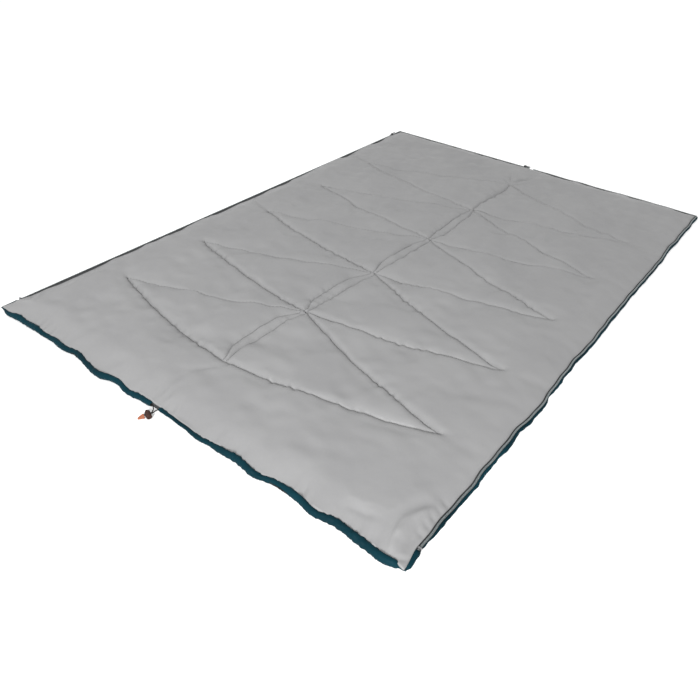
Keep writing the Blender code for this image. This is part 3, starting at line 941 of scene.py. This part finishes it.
    def divide_near_seams(self, shape: bmesh.types.BMesh) -> None:
        """Give the sewn lines, the head edge and the near corner a finer mesh.

        Args:
            shape: The open lining.
        """
        for reach, border in ((0.0090, 0.045), (0.0050, 0.0)):
            middles = np.array([((edge.verts[0].co + edge.verts[1].co) / 2)[:] for edge in shape.edges])
            distance, _, _ = self.quilting.nearest(middles)
            corner = np.hypot(middles[:, 0] - SIZES.half_width, middles[:, 1] - SIZES.head) < 0.22
            corner |= np.hypot(middles[:, 0] + SIZES.half_width, middles[:, 1] - SIZES.head) < 0.14
            star = self.quilting.node(len(self.quilting.node_x) - 1)
            corner |= np.hypot(middles[:, 0] - star.x, middles[:, 1] - star.y) < 0.13
            chosen = (distance < reach) | ((middles[:, 1] < SIZES.head + border) | corner) & (border > 0)
            edges = [edge for edge, pick in zip(shape.edges, chosen) if pick]
            bmesh.ops.subdivide_edges(shape, edges=edges, cuts=1, use_grid_fill=True)
        for vert in shape.verts:
            place, _, distance = self.quilting.tree.find((vert.co.x, vert.co.y, 0.0))
            if distance < 0.0012 and not vert.is_boundary:
                vert.co.x, vert.co.y = place.x, place.y
        bmesh.ops.remove_doubles(shape, verts=shape.verts, dist=0.0003)

    def pull_edges(self, points: np.ndarray) -> np.ndarray:
        """Draw the lining's edge back from the zip on the left and the foot, and out at two corners.

        Args:
            points: One row of x, y and z for each point.

        Returns:
            The moved points.
        """
        x, y, z = points.T
        left, foot = SIZES.half_width + x, SIZES.foot - y
        wave = np.clip(0.5 + 0.6 * Waves(81, 0.12, 0.40, 7).at(y), 0.0, 1.0)
        x = x + 0.0095 * wave * smoothstep(1.0 - left / 0.10)
        lift = 0.0042 * np.clip(Waves(82, 0.14, 0.38, 7).at(y), -0.3, 1.0)
        z = z + lift * smoothstep(1.0 - left / 0.05) * (z > self.rim_bottom + 0.0004)
        wave = 0.6 + 0.4 * Waves(83, 0.10, 0.30, 7).at(x)
        y = y - 0.0088 * wave * smoothstep(1.0 - foot / 0.10)
        for sign, out, down in ((1, 0.0112, 0.0105), (-1, 0.0115, 0.0080)):
            away = np.hypot(x - sign * SIZES.half_width, y - SIZES.head)
            share = smoothstep(1.0 - away / 0.055)
            x, y = x + sign * out * share, y - down * share
        return np.stack([x, y, z], axis=1)

    def creases(self, points: np.ndarray) -> np.ndarray:
        """Heights of the stitched grooves, the puckers beside them and the soft rumples.

        Args:
            points: One row of x, y and z for each point.

        Returns:
            The change in height at each point.
        """
        x, y = points[:, 0], points[:, 1]
        distance, depth, run = self.quilting.nearest(points)
        edge = np.minimum(SIZES.half_width - np.abs(x), np.minimum(SIZES.foot - y, y - SIZES.head))
        change = -self.groove * depth * np.exp(-((distance / self.groove_width) ** 2))
        change -= 0.0018 * depth * np.exp(-((distance / 0.0085) ** 2))
        change += 0.0019 * depth * np.exp(-(((distance - 0.017) / 0.009) ** 2))
        pleats = np.sin(2 * math.pi * run / 0.037) + 0.8 * np.sin(2 * math.pi * run / 0.0236 + 1.3)
        calm = np.clip(0.35 + Waves(23, 0.15, 0.40).at(x, y), 0.0, 1.0)
        change += 0.0018 * depth * calm * pleats * np.exp(-(((distance - 0.009) / 0.010) ** 2))
        inside = smoothstep((edge - 0.03) / 0.10)
        change += 0.0028 * Waves(21, 0.14, 0.34).at(x, y) * inside
        change += 0.0010 * Waves(22, 0.05, 0.10).at(x, y) * inside
        change += self.edge_gathers(x, y)
        change += self.named_folds(x, y)
        return change

    def edge_gathers(self, x: np.ndarray, y: np.ndarray) -> np.ndarray:
        """Short puckers that run in from the edges.

        Args:
            x: X of each point.
            y: Y of each point.

        Returns:
            The change in height at each point.
        """
        head, foot = y - SIZES.head, SIZES.foot - y
        left, right = SIZES.half_width + x, SIZES.half_width - x
        busy = np.clip(0.25 + 0.9 * Waves(36, 0.16, 0.45, 6).at(x), 0.0, 1.0)
        lean = x + 0.25 * head
        gathers = 0.0030 * busy * Waves(31, 0.026, 0.075, 10).at(lean) * np.exp(-head / 0.026)
        gathers += 0.0026 * Waves(32, 0.10, 0.24, 6).at(x - 0.2 * head) * np.exp(-head / 0.060)
        gathers += 0.0014 * Waves(33, 0.03, 0.09, 10).at(x) * np.exp(-foot / 0.025)
        gathers += 0.0014 * Waves(34, 0.04, 0.12, 10).at(y + 0.3 * x) * np.exp(-right / 0.032)
        gathers += 0.0018 * Waves(35, 0.07, 0.20, 8).at(y) * np.exp(-left / 0.040)
        return gathers

    def named_folds(self, x: np.ndarray, y: np.ndarray) -> np.ndarray:
        """Folds that stand on their own: at the corners, the outer points and the last node.

        Args:
            x: X of each point.
            y: Y of each point.

        Returns:
            The change in height at each point.
        """
        change = np.zeros(len(x))

        def ridge(x0: float, y0: float, x1: float, y1: float, height: float, width: float) -> None:
            """Add one soft ridge or, with a height below 0, one furrow, between two places."""
            length2 = (x1 - x0) ** 2 + (y1 - y0) ** 2
            t = np.clip(((x - x0) * (x1 - x0) + (y - y0) * (y1 - y0)) / length2, 0.0, 1.0)
            off2 = (x - x0 - t * (x1 - x0)) ** 2 + (y - y0 - t * (y1 - y0)) ** 2
            change[:] += height * np.exp(-off2 / width ** 2) * (0.35 + 0.65 * np.sin(math.pi * t))

        ridge(0.703, -1.085, 0.691, -1.045, 0.0075, 0.0085)
        ridge(0.691, -1.045, 0.688, -0.995, 0.0080, 0.0090)
        ridge(0.688, -0.995, 0.718, -0.925, 0.0070, 0.0100)
        ridge(0.722, -1.050, 0.716, -0.975, -0.0060, 0.0110)
        ridge(0.716, -1.081, 0.735, -1.063, -0.0055, 0.0045)
        ridge(0.673, -1.075, 0.664, -0.990, -0.0050, 0.0120)
        ridge(0.664, -0.990, 0.690, -0.925, -0.0045, 0.0130)
        ridge(0.560, -1.020, 0.620, -0.990, 0.0032, 0.0110)
        ridge(0.560, -1.050, 0.635, -1.030, -0.0035, 0.0110)
        for number in range(5):
            foot_y = -1.005 + 0.026 * number
            ridge(0.737, foot_y, 0.716, foot_y + 0.010, -0.0030, 0.0050)
        ridge(-0.736, -1.046, -0.684, -1.026, 0.0080, 0.0085)
        ridge(-0.684, -1.026, -0.718, -0.952, 0.0085, 0.0085)
        ridge(-0.724, -1.012, -0.716, -0.985, -0.0080, 0.0140)
        ridge(-0.046, -1.078, -0.058, -0.945, -0.0062, 0.0065)
        ridge(-0.058, -0.945, -0.010, -0.880, -0.0056, 0.0055)
        ridge(-0.020, -1.078, -0.030, -1.000, -0.0048, 0.0060)
        tuck = self.quilting
        for number in (2, 4):
            outer = tuck.outer(number, -1)
            ridge(outer.x, outer.y, -0.700, outer.y + 0.035, -0.0050, 0.008)
            ridge(-0.700, outer.y + 0.035, -0.735, outer.y + 0.085, -0.0055, 0.009)
        for number in range(len(tuck.node_x) - 1):
            for sign in (-1, 1):
                outer = tuck.outer(number, sign)
                for angle, size in ((0.4, 0.030), (-0.5, 0.034)):
                    tip_x = outer.x + sign * size * math.cos(angle)
                    tip_y = outer.y + size * math.sin(angle)
                    ridge(outer.x, outer.y, tip_x, tip_y, -0.0016, 0.0050)
        last = tuck.node(len(tuck.node_x) - 1)
        for angle, size in ((40, 0.09), (75, 0.15), (118, 0.12), (160, 0.07), (205, 0.06), (-25, 0.07)):
            tip = Vector((math.cos(math.radians(angle)), math.sin(math.radians(angle)))) * size
            ridge(last.x, last.y, last.x + tip.x, last.y + tip.y, -0.0070, 0.007)
        ridge(last.x + 0.030, last.y + 0.020, 0.060, 1.060, -0.0050, 0.020)
        return change

    def close(self, shape: bmesh.types.BMesh) -> None:
        """Turn the lining's edge under and close the pad below.

        Args:
            shape: The open lining.
        """
        rim = [edge for edge in shape.edges if edge.is_boundary]
        scale_in = 1.0 - 0.0115 / SIZES.half_width
        steps = ((1.0, self.rim_bottom), (scale_in, self.rim_bottom), (scale_in, self.base_z))
        for scale, height in steps:
            made = bmesh.ops.extrude_edge_only(shape, edges=rim)["geom"]
            verts = [item for item in made if isinstance(item, bmesh.types.BMVert)]
            rim = [item for item in made if isinstance(item, bmesh.types.BMEdge)
                   and item.is_boundary]
            for vert in verts:
                vert.co = (vert.co.x * scale, vert.co.y * scale, height)
        bmesh.ops.contextual_create(shape, geom=rim)

    def dress(self, piece: bpy.types.Object) -> None:
        """Hide the imported lining and wadding that the pad replaces, bake its placement and log it."""
        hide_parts("lining_left", "lining_right", "insulation_left", "insulation_right")
        bend_at_fold(piece)
        report(piece)

    def stitches(self, pad: bpy.types.Object) -> bpy.types.Object:
        """The quilting thread: short stitches that lie in the grooves, coloured dark to paint the
        grooves' shade as well.

        Args:
            pad: The finished pad, which the stitches lie on.

        Returns:
            The thread as one piece.
        """
        tree = BVHTree.FromObject(pad, bpy.context.evaluated_depsgraph_get())
        lines = []
        pace = round(self.quilting.stitch / self.quilting.step)
        for line in self.quilting.lines:
            start = line[len(line) // 2]
            faint = self.quilting.nearest(np.array([start[:]]))[1][0] < 0.35
            for index in range(0, len(line) - pace, pace * (3 if faint else 1)):
                ends = []
                for ahead in (0, pace // 2, pace - 1):
                    point = line[index + ahead]
                    hit = tree.ray_cast(Vector((point.x, point.y, 0.1)), Vector((0, 0, -1)))[0]
                    if hit is None:
                        break
                    ends.append(hit + Vector((0, 0, 0.0002 if ahead == pace // 2 else -0.0001)))
                if len(ends) == 3:
                    lines.append(ends)
        # The thread's dark colour also paints the shade along the sewn lines.
        thread = tube_mesh("quilting_thread", lines, 0.00055, 0, self.finishes.thread)
        bend_at_fold(thread)
        report(thread)
        return thread


# --------------------------------------------------------------------------------------
# The shell, its rim and the head hem
# --------------------------------------------------------------------------------------


@dataclass
class OuterShell:
    """The teal shell under the quilt, with the soft roll round its rim."""

    finishes: Finishes
    thickness: float = 0.0012
    inset: float = 0.006
    cell: float = 0.030
    roll_in: float = 0.0218
    seam_top: float = 0.0103

    def floor_sheet(self) -> bpy.types.Object:
        """The sheet that lies on the floor, slightly rumpled.

        Returns:
            The finished sheet.
        """
        half_x, half_y = SIZES.half_width - self.inset, (SIZES.foot - SIZES.head) / 2 - self.inset
        shape = bmesh.new()
        bmesh.ops.create_grid(shape, x_segments=round(2 * half_x / self.cell),
                              y_segments=round(2 * half_y / self.cell), size=1.0)
        bmesh.ops.scale(shape, verts=shape.verts, vec=(half_x, half_y, 1.0))
        middle = (SIZES.foot + SIZES.head) / 2
        bmesh.ops.translate(shape, verts=shape.verts, vec=(0.0, middle, 0.0))
        slice_at_fold(shape)
        points = points_of(shape)
        rumple = 0.5 + 0.5 * np.clip(Waves(41, 0.10, 0.30).at(points[:, 0], points[:, 1]), -1.0, 1.0)
        points[:, 2] = 0.0002 + 0.0004 * rumple
        place_points(shape, WANDER.shift(points))
        made = bmesh.ops.extrude_face_region(shape, geom=shape.faces[:])
        upper = [item for item in made["geom"] if isinstance(item, bmesh.types.BMVert)]
        bmesh.ops.translate(shape, verts=upper, vec=(0.0, 0.0, self.thickness))
        piece = finish_piece("shell_sheet", shape, self.finishes.shell)
        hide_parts("shell_left", "shell_right")
        bend_at_fold(piece)
        report(piece)
        return piece

    def roll_section(self, outward: float, height: float, plump: float) -> Profile:
        """The section of the rim: a soft bulge outside and the flat seam that holds the tape.

        Args:
            outward: How far the bulge stands out past the edge.
            height: The bulge's height.
            plump: 1 for full size, less where the roll tapers.

        Returns:
            The (u, z) points.
        """
        middle_u = 0.0062
        reach = (middle_u + outward) * plump
        low = 0.0005
        points = [(self.roll_in, 0.0018), (self.roll_in, self.seam_top), (0.0125, self.seam_top)]
        for step in range(9):
            angle = math.pi * (0.5 + step / 8)
            half = (height - low) / 2
            u = middle_u + reach * math.cos(angle)
            points.append((u, low + half + half * math.sin(angle)))
        points.append((0.0125, low))
        return points

    def roll(self, side: Side, start: float, end: float, body: str, full: bool) -> bpy.types.Object:
        """One straight run of the rim.

        Args:
            side: The edge.
            start: Where it starts.
            end: Where it ends.
            body: The body that it rides on.
            full: Whether the roll may stand full, which the sliders' side may not.

        Returns:
            The finished run.
        """
        waves, fine = Waves(51 + len(side.value), 0.10, 0.30, 8), Waves(61, 0.018, 0.045, 8)
        names = {Side.FOOT: f"rim_foot_{body}", Side.HEAD: f"rim_head_{body}"}

        def section(place: float) -> Profile:
            """The section at one place along the edge."""
            wave = float(waves.at(place)) + 0.35 * float(fine.at(place))
            tip = min(abs(place - start), abs(place - end))
            plump = 0.35 + 0.65 * float(smoothstep(tip / 0.010))
            long_side = side in (Side.LEFT, Side.RIGHT)
            near_head = float(smoothstep((-1.030 - place) / 0.012)) if long_side else 0.0
            if not full:
                outward = 0.0008 + 0.0010 * wave + 0.0028 * near_head
                return self.roll_section(outward, 0.0060 + 0.0003 * wave + 0.0060 * near_head, plump)
            lower_half = float(smoothstep((0.05 - place) / 0.5)) if side is Side.RIGHT else 0.3
            outward = 0.0002 + 0.0020 * lower_half + (0.0008 + 0.0014 * lower_half) * wave
            outward += 0.0035 * near_head
            height = 0.0086 + 0.0012 * wave + 0.0048 * near_head
            return self.roll_section(outward, height, plump)

        shape = sweep(side, along(start, end, 0.006), section)
        place_points(shape, WANDER.shift(points_of(shape)))
        piece = finish_piece(names.get(side, f"rim_side_{body}"), shape, self.finishes.shell, 60.0)
        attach(piece, body)
        report(piece)
        return piece

    def build(self) -> None:
        """Build the sheet and every run of the rim."""
        self.floor_sheet()
        low, high = SIZES.head + 0.001, SIZES.foot - 0.0002
        far = SIZES.half_width - 0.0002
        self.roll(Side.LEFT, low - 0.008, high, LEFT_BODY, False)
        self.roll(Side.RIGHT, low - 0.006, high, RIGHT_BODY, True)
        self.roll(Side.FOOT, -far, -0.004, LEFT_BODY, False)
        self.roll(Side.FOOT, 0.004, far, RIGHT_BODY, True)


@dataclass
class HeadHem:
    """The gathered tube along the head edge that the drawcord runs in."""

    finishes: Finishes
    sides: int = 18
    step: float = 0.0035
    fullness_left: tuple[tuple[float, float], ...] = (
        (-0.751, 0.16), (-0.742, 0.34), (-0.715, 0.62), (-0.690, 0.92), (-0.655, 1.14), (-0.610, 0.92),
        (-0.560, 1.06), (-0.535, 0.78), (-0.505, 0.82), (-0.460, 1.08), (-0.400, 0.86), (-0.350, 1.06),
        (-0.280, 0.90), (-0.200, 1.10), (-0.130, 0.92), (-0.080, 1.08), (-0.050, 0.92), (-0.042, 0.55),
    )
    fullness_right: tuple[tuple[float, float], ...] = (
        (-0.012, 0.42), (0.020, 0.46), (0.090, 0.48), (0.125, 0.66), (0.160, 0.72), (0.185, 0.74),
        (0.210, 1.02), (0.260, 1.20), (0.320, 1.14), (0.345, 0.86), (0.400, 0.88), (0.430, 1.00),
        (0.480, 1.06), (0.520, 0.96), (0.570, 1.20), (0.640, 1.36), (0.700, 1.30), (0.722, 1.10),
        (0.7305, 0.72), (0.7345, 0.34), (0.751, 0.14),
    )
    _long: Waves = field(default_factory=lambda: Waves(71, 0.07, 0.17, 8))
    _short: Waves = field(default_factory=lambda: Waves(72, 0.007, 0.016, 10))
    _twist: Waves = field(default_factory=lambda: Waves(73, 0.02, 0.05, 8))
    _sag: Waves = field(default_factory=lambda: Waves(74, 0.08, 0.20, 8))

    def section(self, place: float, table: Sequence[tuple[float, float]]) -> Profile:
        """The hem's section at one place.

        Args:
            place: X along the head edge.
            table: Places and how full the tube is there.

        Returns:
            The (u, z) points, u being the way in from the shell's head edge.
        """
        full = float(np.interp(place, [x for x, _ in table], [share for _, share in table]))
        full *= 1.0 + 0.07 * float(self._long.at(place))
        depth, height = SIZES.hem_depth / 2 * full, SIZES.hem_height / 2 * min(full, 1.12)
        centre = SIZES.hem_y - SIZES.head
        reach_in = (SIZES.hem_depth / 2 + 0.002) * min(1.0, full / 0.40)
        middle = max(height + 0.0006, 0.0085) + 0.0010 * max(0.0, float(self._sag.at(place)))
        points = []
        for index in range(self.sides):
            angle = 2 * math.pi * index / self.sides
            gather = 1.0 + 0.055 * float(self._short.at(place + 0.0035 * math.sin(angle + 0.6)))
            gather += 0.05 * float(self._twist.at(place + 0.02 * angle))
            across = math.cos(angle)
            u = centre + (reach_in if across > 0 else depth) * gather * across
            z = middle + height * gather * math.sin(angle)
            points.append((u, max(z, 0.0003)))
        return points

    def run(self, name: str, table: Sequence[tuple[float, float]], mouth_first: bool
            ) -> bpy.types.Object:
        """One length of hem, with the end at the cord turned in like a mouth.

        Args:
            name: The piece's name.
            table: Places and how full the tube is there.
            mouth_first: Whether the mouth is at the first place, or else at the last.

        Returns:
            The new piece.
        """
        stations = along(table[0][0], table[-1][0], self.step)
        mouth = stations[0] if mouth_first else stations[-1]
        lip = [mouth + (0.0012 if mouth_first else -0.0012), mouth + (0.006 if mouth_first else -0.006)]
        whole = stations[::-1] if mouth_first else stations
        sections = [(place, self.section(place, table)) for place in whole]
        outer = sections[-1][1]
        centre_u, centre_z = SIZES.hem_y - SIZES.head, SIZES.hem_z
        for place, share in zip(lip, (0.62, 0.30)):
            smaller = [(centre_u + (u - centre_u) * share, centre_z + (z - centre_z) * share)
                       for u, z in outer]
            sections.append((place, smaller))
        keys = {index: section for index, (_, section) in enumerate(sections)}
        shape = self.skin([place for place, _ in sections], keys)
        place_points(shape, WANDER.shift(points_of(shape)))
        return finish_piece(name, shape, self.finishes.shell, 75.0)

    def skin(self, places: Sequence[float], sections: dict[int, Profile]) -> bmesh.types.BMesh:
        """Join sections that may turn back on themselves.

        Args:
            places: X of each section.
            sections: The section at each index.

        Returns:
            The closed mesh.
        """
        shape = bmesh.new()
        rings = []
        for index, place in enumerate(places):
            ring = [shape.verts.new((place, SIZES.head + u, z)) for u, z in sections[index]]
            rings.append([shape.edges.new(pair) for pair in zip(ring, ring[1:] + ring[:1])])
        for before, after in zip(rings, rings[1:]):
            bmesh.ops.bridge_loops(shape, edges=before + after)
        for ring in (rings[0], rings[-1]):
            bmesh.ops.contextual_create(shape, geom=ring)
        return shape

    def inner_strip(self) -> None:
        """The strip of the hem that closes the gap behind the cord's way out."""
        profile = [(-0.0044, 0.0030), (0.0035, 0.0030), (0.0035, 0.0125), (-0.0030, 0.0132),
                   (-0.0044, 0.0115)]
        shape = sweep(Side.HEAD, along(-0.050, -0.0105, 0.004), lambda place: profile)
        strip = finish_piece("head_hem_inner_strip", shape, self.finishes.tape)
        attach(strip, LEFT_BODY)
        report(strip)

    def build(self) -> None:
        """Build both lengths and dress them."""
        self.inner_strip()
        left = self.run("head_hem_gathered_left", self.fullness_left, False)
        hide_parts("head_hem_left")
        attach(left, LEFT_BODY)
        right = self.run("head_hem_gathered_right", self.fullness_right, True)
        slicer = bmesh.new()
        slicer.from_mesh(right.data)
        slice_at_fold(slicer)
        slicer.to_mesh(right.data)
        slicer.free()
        right.data.shade_smooth()
        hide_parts("head_hem_centre", "head_hem_right")
        bend_at_fold(right)
        report(left)
        report(right)


# --------------------------------------------------------------------------------------
# The zip
# --------------------------------------------------------------------------------------


@dataclass
class EdgeZip:
    """The zip tapes and coils round the sides and the foot, on both halves."""

    finishes: Finishes
    tape_in: float = 0.0220
    tape_out: float = 0.0035
    coil_pitch: float = 0.0020
    coil_wire: float = 0.00042

    def tape(self, side: Side, start: float, end: float, node: str, body: str) -> None:
        """One woven tape, with a corded edge under the coil.

        Args:
            side: The edge that it runs along.
            start: Where it starts.
            end: Where it ends.
            node: The CAD node that it stands for.
            body: The body that it rides on.
        """
        low, high = SIZES.tape_bottom, SIZES.tape_top
        bead = 0.0004
        profile = [
            (self.tape_out, low), (self.tape_in, low), (self.tape_in, high), (0.0100, high),
            (0.0094, high + bead / 2), (0.0088, high), (self.tape_out + 0.0006, high),
            (self.tape_out, (low + high) / 2),
        ]
        shape = sweep(side, along(start, end, 0.012), lambda place: profile)
        place_points(shape, WANDER.shift(points_of(shape)))
        piece = finish_piece(f"{node}_woven", shape, self.finishes.tape)
        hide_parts(node)
        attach(piece, body)
        report(piece)

    def coil(self, side: Side, start: float, end: float, node: str, body: str) -> None:
        """One nylon coil: a flattened spiral that is sewn to the tape.

        Args:
            side: The edge that it runs along.
            start: Where it starts.
            end: Where it ends.
            node: The CAD node that it stands for.
            body: The body that it rides on.
        """
        low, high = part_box(node)
        radius_z = (high.z - low.z) / 2 - self.coil_wire
        radius_u = 0.0025 - self.coil_wire
        middle_z, middle_u, per_turn = (high.z + low.z) / 2, 0.0060, 8
        turns = int(abs(end - start) / self.coil_pitch)
        places = []
        for step in range(turns * per_turn + 1):
            angle = 2 * math.pi * step / per_turn
            place = start + (end - start) * step / (turns * per_turn)
            places.append((place, middle_u + radius_u * math.cos(angle),
                           middle_z + radius_z * math.sin(angle)))
        matrix = side.matrix()
        points = np.array([(matrix @ Vector(place))[:] for place in places])
        line = [Vector(point) for point in WANDER.shift(points)]
        piece = tube_mesh(f"{node}_spiral", [line], self.coil_wire, 0, self.finishes.coil)
        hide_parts(node)
        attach(piece, body)
        report(piece)

    def build(self) -> None:
        """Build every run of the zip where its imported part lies."""
        runs = ((Side.LEFT, "side", "left", LEFT_BODY), (Side.RIGHT, "side", "right", RIGHT_BODY),
                (Side.FOOT, "foot", "left", LEFT_BODY), (Side.FOOT, "foot", "right", RIGHT_BODY))
        for side, place, word, body in runs:
            axis = 0 if side is Side.FOOT else 1
            for kind, make in (("tape", self.tape), ("coil", self.coil)):
                node = f"zip_{kind}_{place}_{word}"
                low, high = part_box(node)
                make(side, low[axis], high[axis], node, body)

    def dress_hardware(self) -> None:
        """Give the sliders, pulls, stops, box and pin their finishes."""
        for name in ("zip_slider_foot", "zip_slider_side", "zip_pull_foot", "zip_pull_side",
                     "zip_top_stop_left", "zip_top_stop_right"):
            dress_part(name, self.finishes.metal)
        for name in ("zip_box", "zip_pin"):
            dress_part(name, self.finishes.coil)


def dress_part(name: str, material: bpy.types.Material) -> None:
    """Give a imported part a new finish."""
    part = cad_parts[name]
    part.data.materials.clear()
    part.data.materials.append(material)


# --------------------------------------------------------------------------------------
# The drawcord
# --------------------------------------------------------------------------------------


@dataclass
class Drawcord:
    """The drawcord: two hidden runs in the hem, two free strands, the lock and the end piece."""

    finishes: Finishes
    radius: float = 0.0015
    step: float = 0.003
    lock_centre: Vector = field(default_factory=lambda: Vector((-0.0235, -1.1195, 0.0078)))
    angle: float = math.radians(245.6)
    offset: float = 0.00165
    last: float = 0.0100

    def on_lock(self, across: float, forward: float) -> Vector:
        """A point given in the lock's own directions, across the cord and along it."""
        cord_way = Vector((math.cos(self.angle), math.sin(self.angle), 0.0))
        barrel_way = Vector((math.sin(self.angle), -math.cos(self.angle), 0.0))
        return self.lock_centre + barrel_way * across + cord_way * forward

    def routes(self) -> dict[str, list[Vector]]:
        """The routes of the two free strands.

        Returns:
            The points of each strand, from inside the hem to the end piece.
        """
        y, z = HEM_LINE_Y, HEM_LINE_Z
        into_lock = (-0.0100, -0.0050, 0.0, self.last)
        left = [
            Vector((-0.0600, y, z)),
            Vector((-0.0520, y, z)),
            Vector((-0.0430, y, z)),
            Vector((-0.0350, -1.0940, 0.0096)),
            Vector((-0.0282, -1.0980, 0.0090)),
            Vector((-0.0236, -1.1035, 0.0082)),
            *[self.on_lock(self.offset, forward) for forward in into_lock],
        ]
        right = [
            Vector((-0.0003, y, z)),
            Vector((-0.0060, y, z)),
            Vector((-0.0110, y, z)),
            Vector((-0.0152, -1.0946, 0.0096)),
            Vector((-0.0172, -1.0990, 0.0090)),
            Vector((-0.0176, -1.1050, 0.0082)),
            *[self.on_lock(-self.offset, forward) for forward in into_lock],
        ]
        return {"left": left, "right": right}

    def smooth_line(self, points: list[Vector]) -> list[Vector]:
        """A smooth curve through points.

        Args:
            points: The points of the route.

        Returns:
            Points a few millimetres apart on the curve.
        """
        line = [points[0]]
        ends = [2 * points[0] - points[1], *points, 2 * points[-1] - points[-2]]
        for before, here, there, after in zip(ends, ends[1:], ends[2:], ends[3:]):
            steps = max(1, round((there - here).length / self.step))
            for index in range(1, steps + 1):
                t = index / steps
                line.append(0.5 * (2 * here + (there - before) * t
                                   + (2 * before - 5 * here + 4 * there - after) * t ** 2
                                   + (3 * here - before - 3 * there + after) * t ** 3))
        return line

    def strand(self, name: str, line: list[Vector], body: str) -> bpy.types.Object:
        """One run of cord as a curve.

        Args:
            name: The piece's name.
            line: The points that it follows.
            body: The body that it rides on.

        Returns:
            The new curve.
        """
        data = bpy.data.curves.new(name, "CURVE")
        data.dimensions = "3D"
        data.bevel_depth = self.radius
        data.bevel_resolution = 3
        data.use_fill_caps = True
        spline = data.splines.new("POLY")
        spline.points.add(len(line) - 1)
        spline.points.foreach_set("co", [value for point in line for value in (*point, 1.0)])
        spline.use_smooth = True
        data.materials.append(self.finishes.cord)
        piece = bpy.data.objects.new(name, data)
        bpy.context.scene.collection.objects.link(piece)
        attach(piece, body)
        report(piece)
        return piece

    def spring(self) -> bpy.types.Object:
        """A copy of the lock's spring, attached to the lock's body.

        Returns:
            The new spring.
        """
        shape = bmesh.new()
        shape.from_mesh(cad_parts["cord_lock_spring"].data)
        bmesh.ops.remove_doubles(shape, verts=shape.verts, dist=1e-6)
        piece = finish_piece("lock_spring_wire", shape, self.finishes.steel)
        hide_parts("cord_lock_spring")
        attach(piece, "cord_lock")
        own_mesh(piece)
        return piece

    def build(self) -> None:
        """Build the cord and dress the lock."""
        lock = [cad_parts["cord_lock_body"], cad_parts["cord_lock_button"], self.spring()]
        for word, points in self.routes().items():
            line = self.smooth_line(points)
            piece = self.strand(f"cord_strand_{word}", line, LEFT_BODY)
            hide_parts(f"drawcord_strand_{word}")
        for word, body in (("left", LEFT_BODY), ("right", RIGHT_BODY)):
            low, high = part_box(f"drawcord_{word}")
            y, z = (low.y + high.y) / 2, (low.z + high.z) / 2
            start = max(low.x, 0.012) if word == "right" else low.x
            line = [Vector((x, y, z)) for x in along(start, high.x, 0.05)]
            hidden = self.strand(f"cord_in_hem_{word}", line, body)
            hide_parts(f"drawcord_{word}")
        dress_part("cord_lock_body", self.finishes.lock)
        dress_part("cord_lock_button", self.finishes.lock)
        dress_part("cord_end", self.finishes.end)


# --------------------------------------------------------------------------------------
# The studio
# --------------------------------------------------------------------------------------


@dataclass
class Studio:
    """The floor, the lights and the camera."""

    azimuth: float = 35.90
    elevation: float = 36.85
    roll: float = 2.67
    distance: float = 1.983
    target: tuple[float, float, float] = (0.199, -0.560, 0.0)
    lens: float = 34.61

    def camera(self) -> None:
        """Place the camera."""
        azimuth, elevation, roll = map(math.radians, (self.azimuth, self.elevation, self.roll))
        back = Vector((math.sin(azimuth) * math.cos(elevation), -math.cos(azimuth) * math.cos(elevation),
                       math.sin(elevation)))
        right = Vector((math.cos(azimuth), math.sin(azimuth), 0.0))
        up = back.cross(right)
        turned_right = math.cos(roll) * right + math.sin(roll) * up
        turned_up = math.cos(roll) * up - math.sin(roll) * right
        data = bpy.data.cameras.new("studio_camera")
        data.lens = self.lens
        data.sensor_width = 36.0
        data.clip_start, data.clip_end = 0.05, 60.0
        camera = bpy.data.objects.new("studio_camera", data)
        place = Matrix((turned_right, turned_up, back)).transposed().to_4x4()
        place.translation = Vector(self.target) + back * self.distance
        camera.matrix_world = place
        bpy.context.scene.collection.objects.link(camera)
        bpy.context.scene.camera = camera

    def floor(self) -> None:
        """Lay a plain pale floor."""
        desk = NodeDesk("pale_floor")
        colour = desk.tint(desk.between(desk.noise(2.0), 0.0, 1.0), (0.92, 0.92, 0.92),
                           (0.94, 0.94, 0.94))
        material = desk.finish(Base_Color=colour, Roughness=0.9)
        shape = bmesh.new()
        bmesh.ops.create_grid(shape, x_segments=1, y_segments=1, size=30.0)
        bmesh.ops.translate(shape, verts=shape.verts, vec=(0.0, 0.0, -0.0004))
        finish_piece("floor", shape, material)

    def light(self, name: str, place: Sequence[float], size: float, power: float) -> None:
        """Add one soft square light that looks at the bag's middle.

        Args:
            name: The light's name.
            place: Where it stands.
            size: The length of its sides.
            power: Its power in watts.
        """
        data = bpy.data.lights.new(name, "AREA")
        data.size = size
        data.energy = power
        lamp = bpy.data.objects.new(name, data)
        lamp.location = place
        lamp.rotation_euler = (-Vector(place)).to_track_quat("-Z", "Y").to_euler()
        bpy.context.scene.collection.objects.link(lamp)

    def build(self) -> None:
        """Set up the whole studio."""
        self.camera()
        self.floor()
        world = bpy.data.worlds.new("studio")
        world.use_nodes = True
        background = world.node_tree.nodes["Background"]
        background.inputs["Color"].default_value = (1.0, 1.0, 1.0, 1.0)
        background.inputs["Strength"].default_value = 1.08
        bpy.context.scene.world = world
        bpy.context.scene.view_settings.view_transform = "Standard"
        self.light("key", (1.4, -3.4, 1.7), 0.9, 150.0)
        self.light("fill", (-2.6, -0.2, 2.4), 1.6, 16.0)


def main() -> None:
    """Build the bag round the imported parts."""
    logging.basicConfig(level=logging.INFO, format="%(name)s: %(message)s")
    Studio().build()
    finishes = Finishes()
    Drawcord(finishes).build()
    quilting = Quilting()
    quilting.lay_out()
    lining = QuiltedLining(finishes, quilting)
    pad = lining.build()
    lining.stitches(pad)
    lining.dress(pad)
    OuterShell(finishes).build()
    HeadHem(finishes).build()
    edge_zip = EdgeZip(finishes)
    edge_zip.build()
    edge_zip.dress_hardware()


if __name__ == "__main__":
    main()
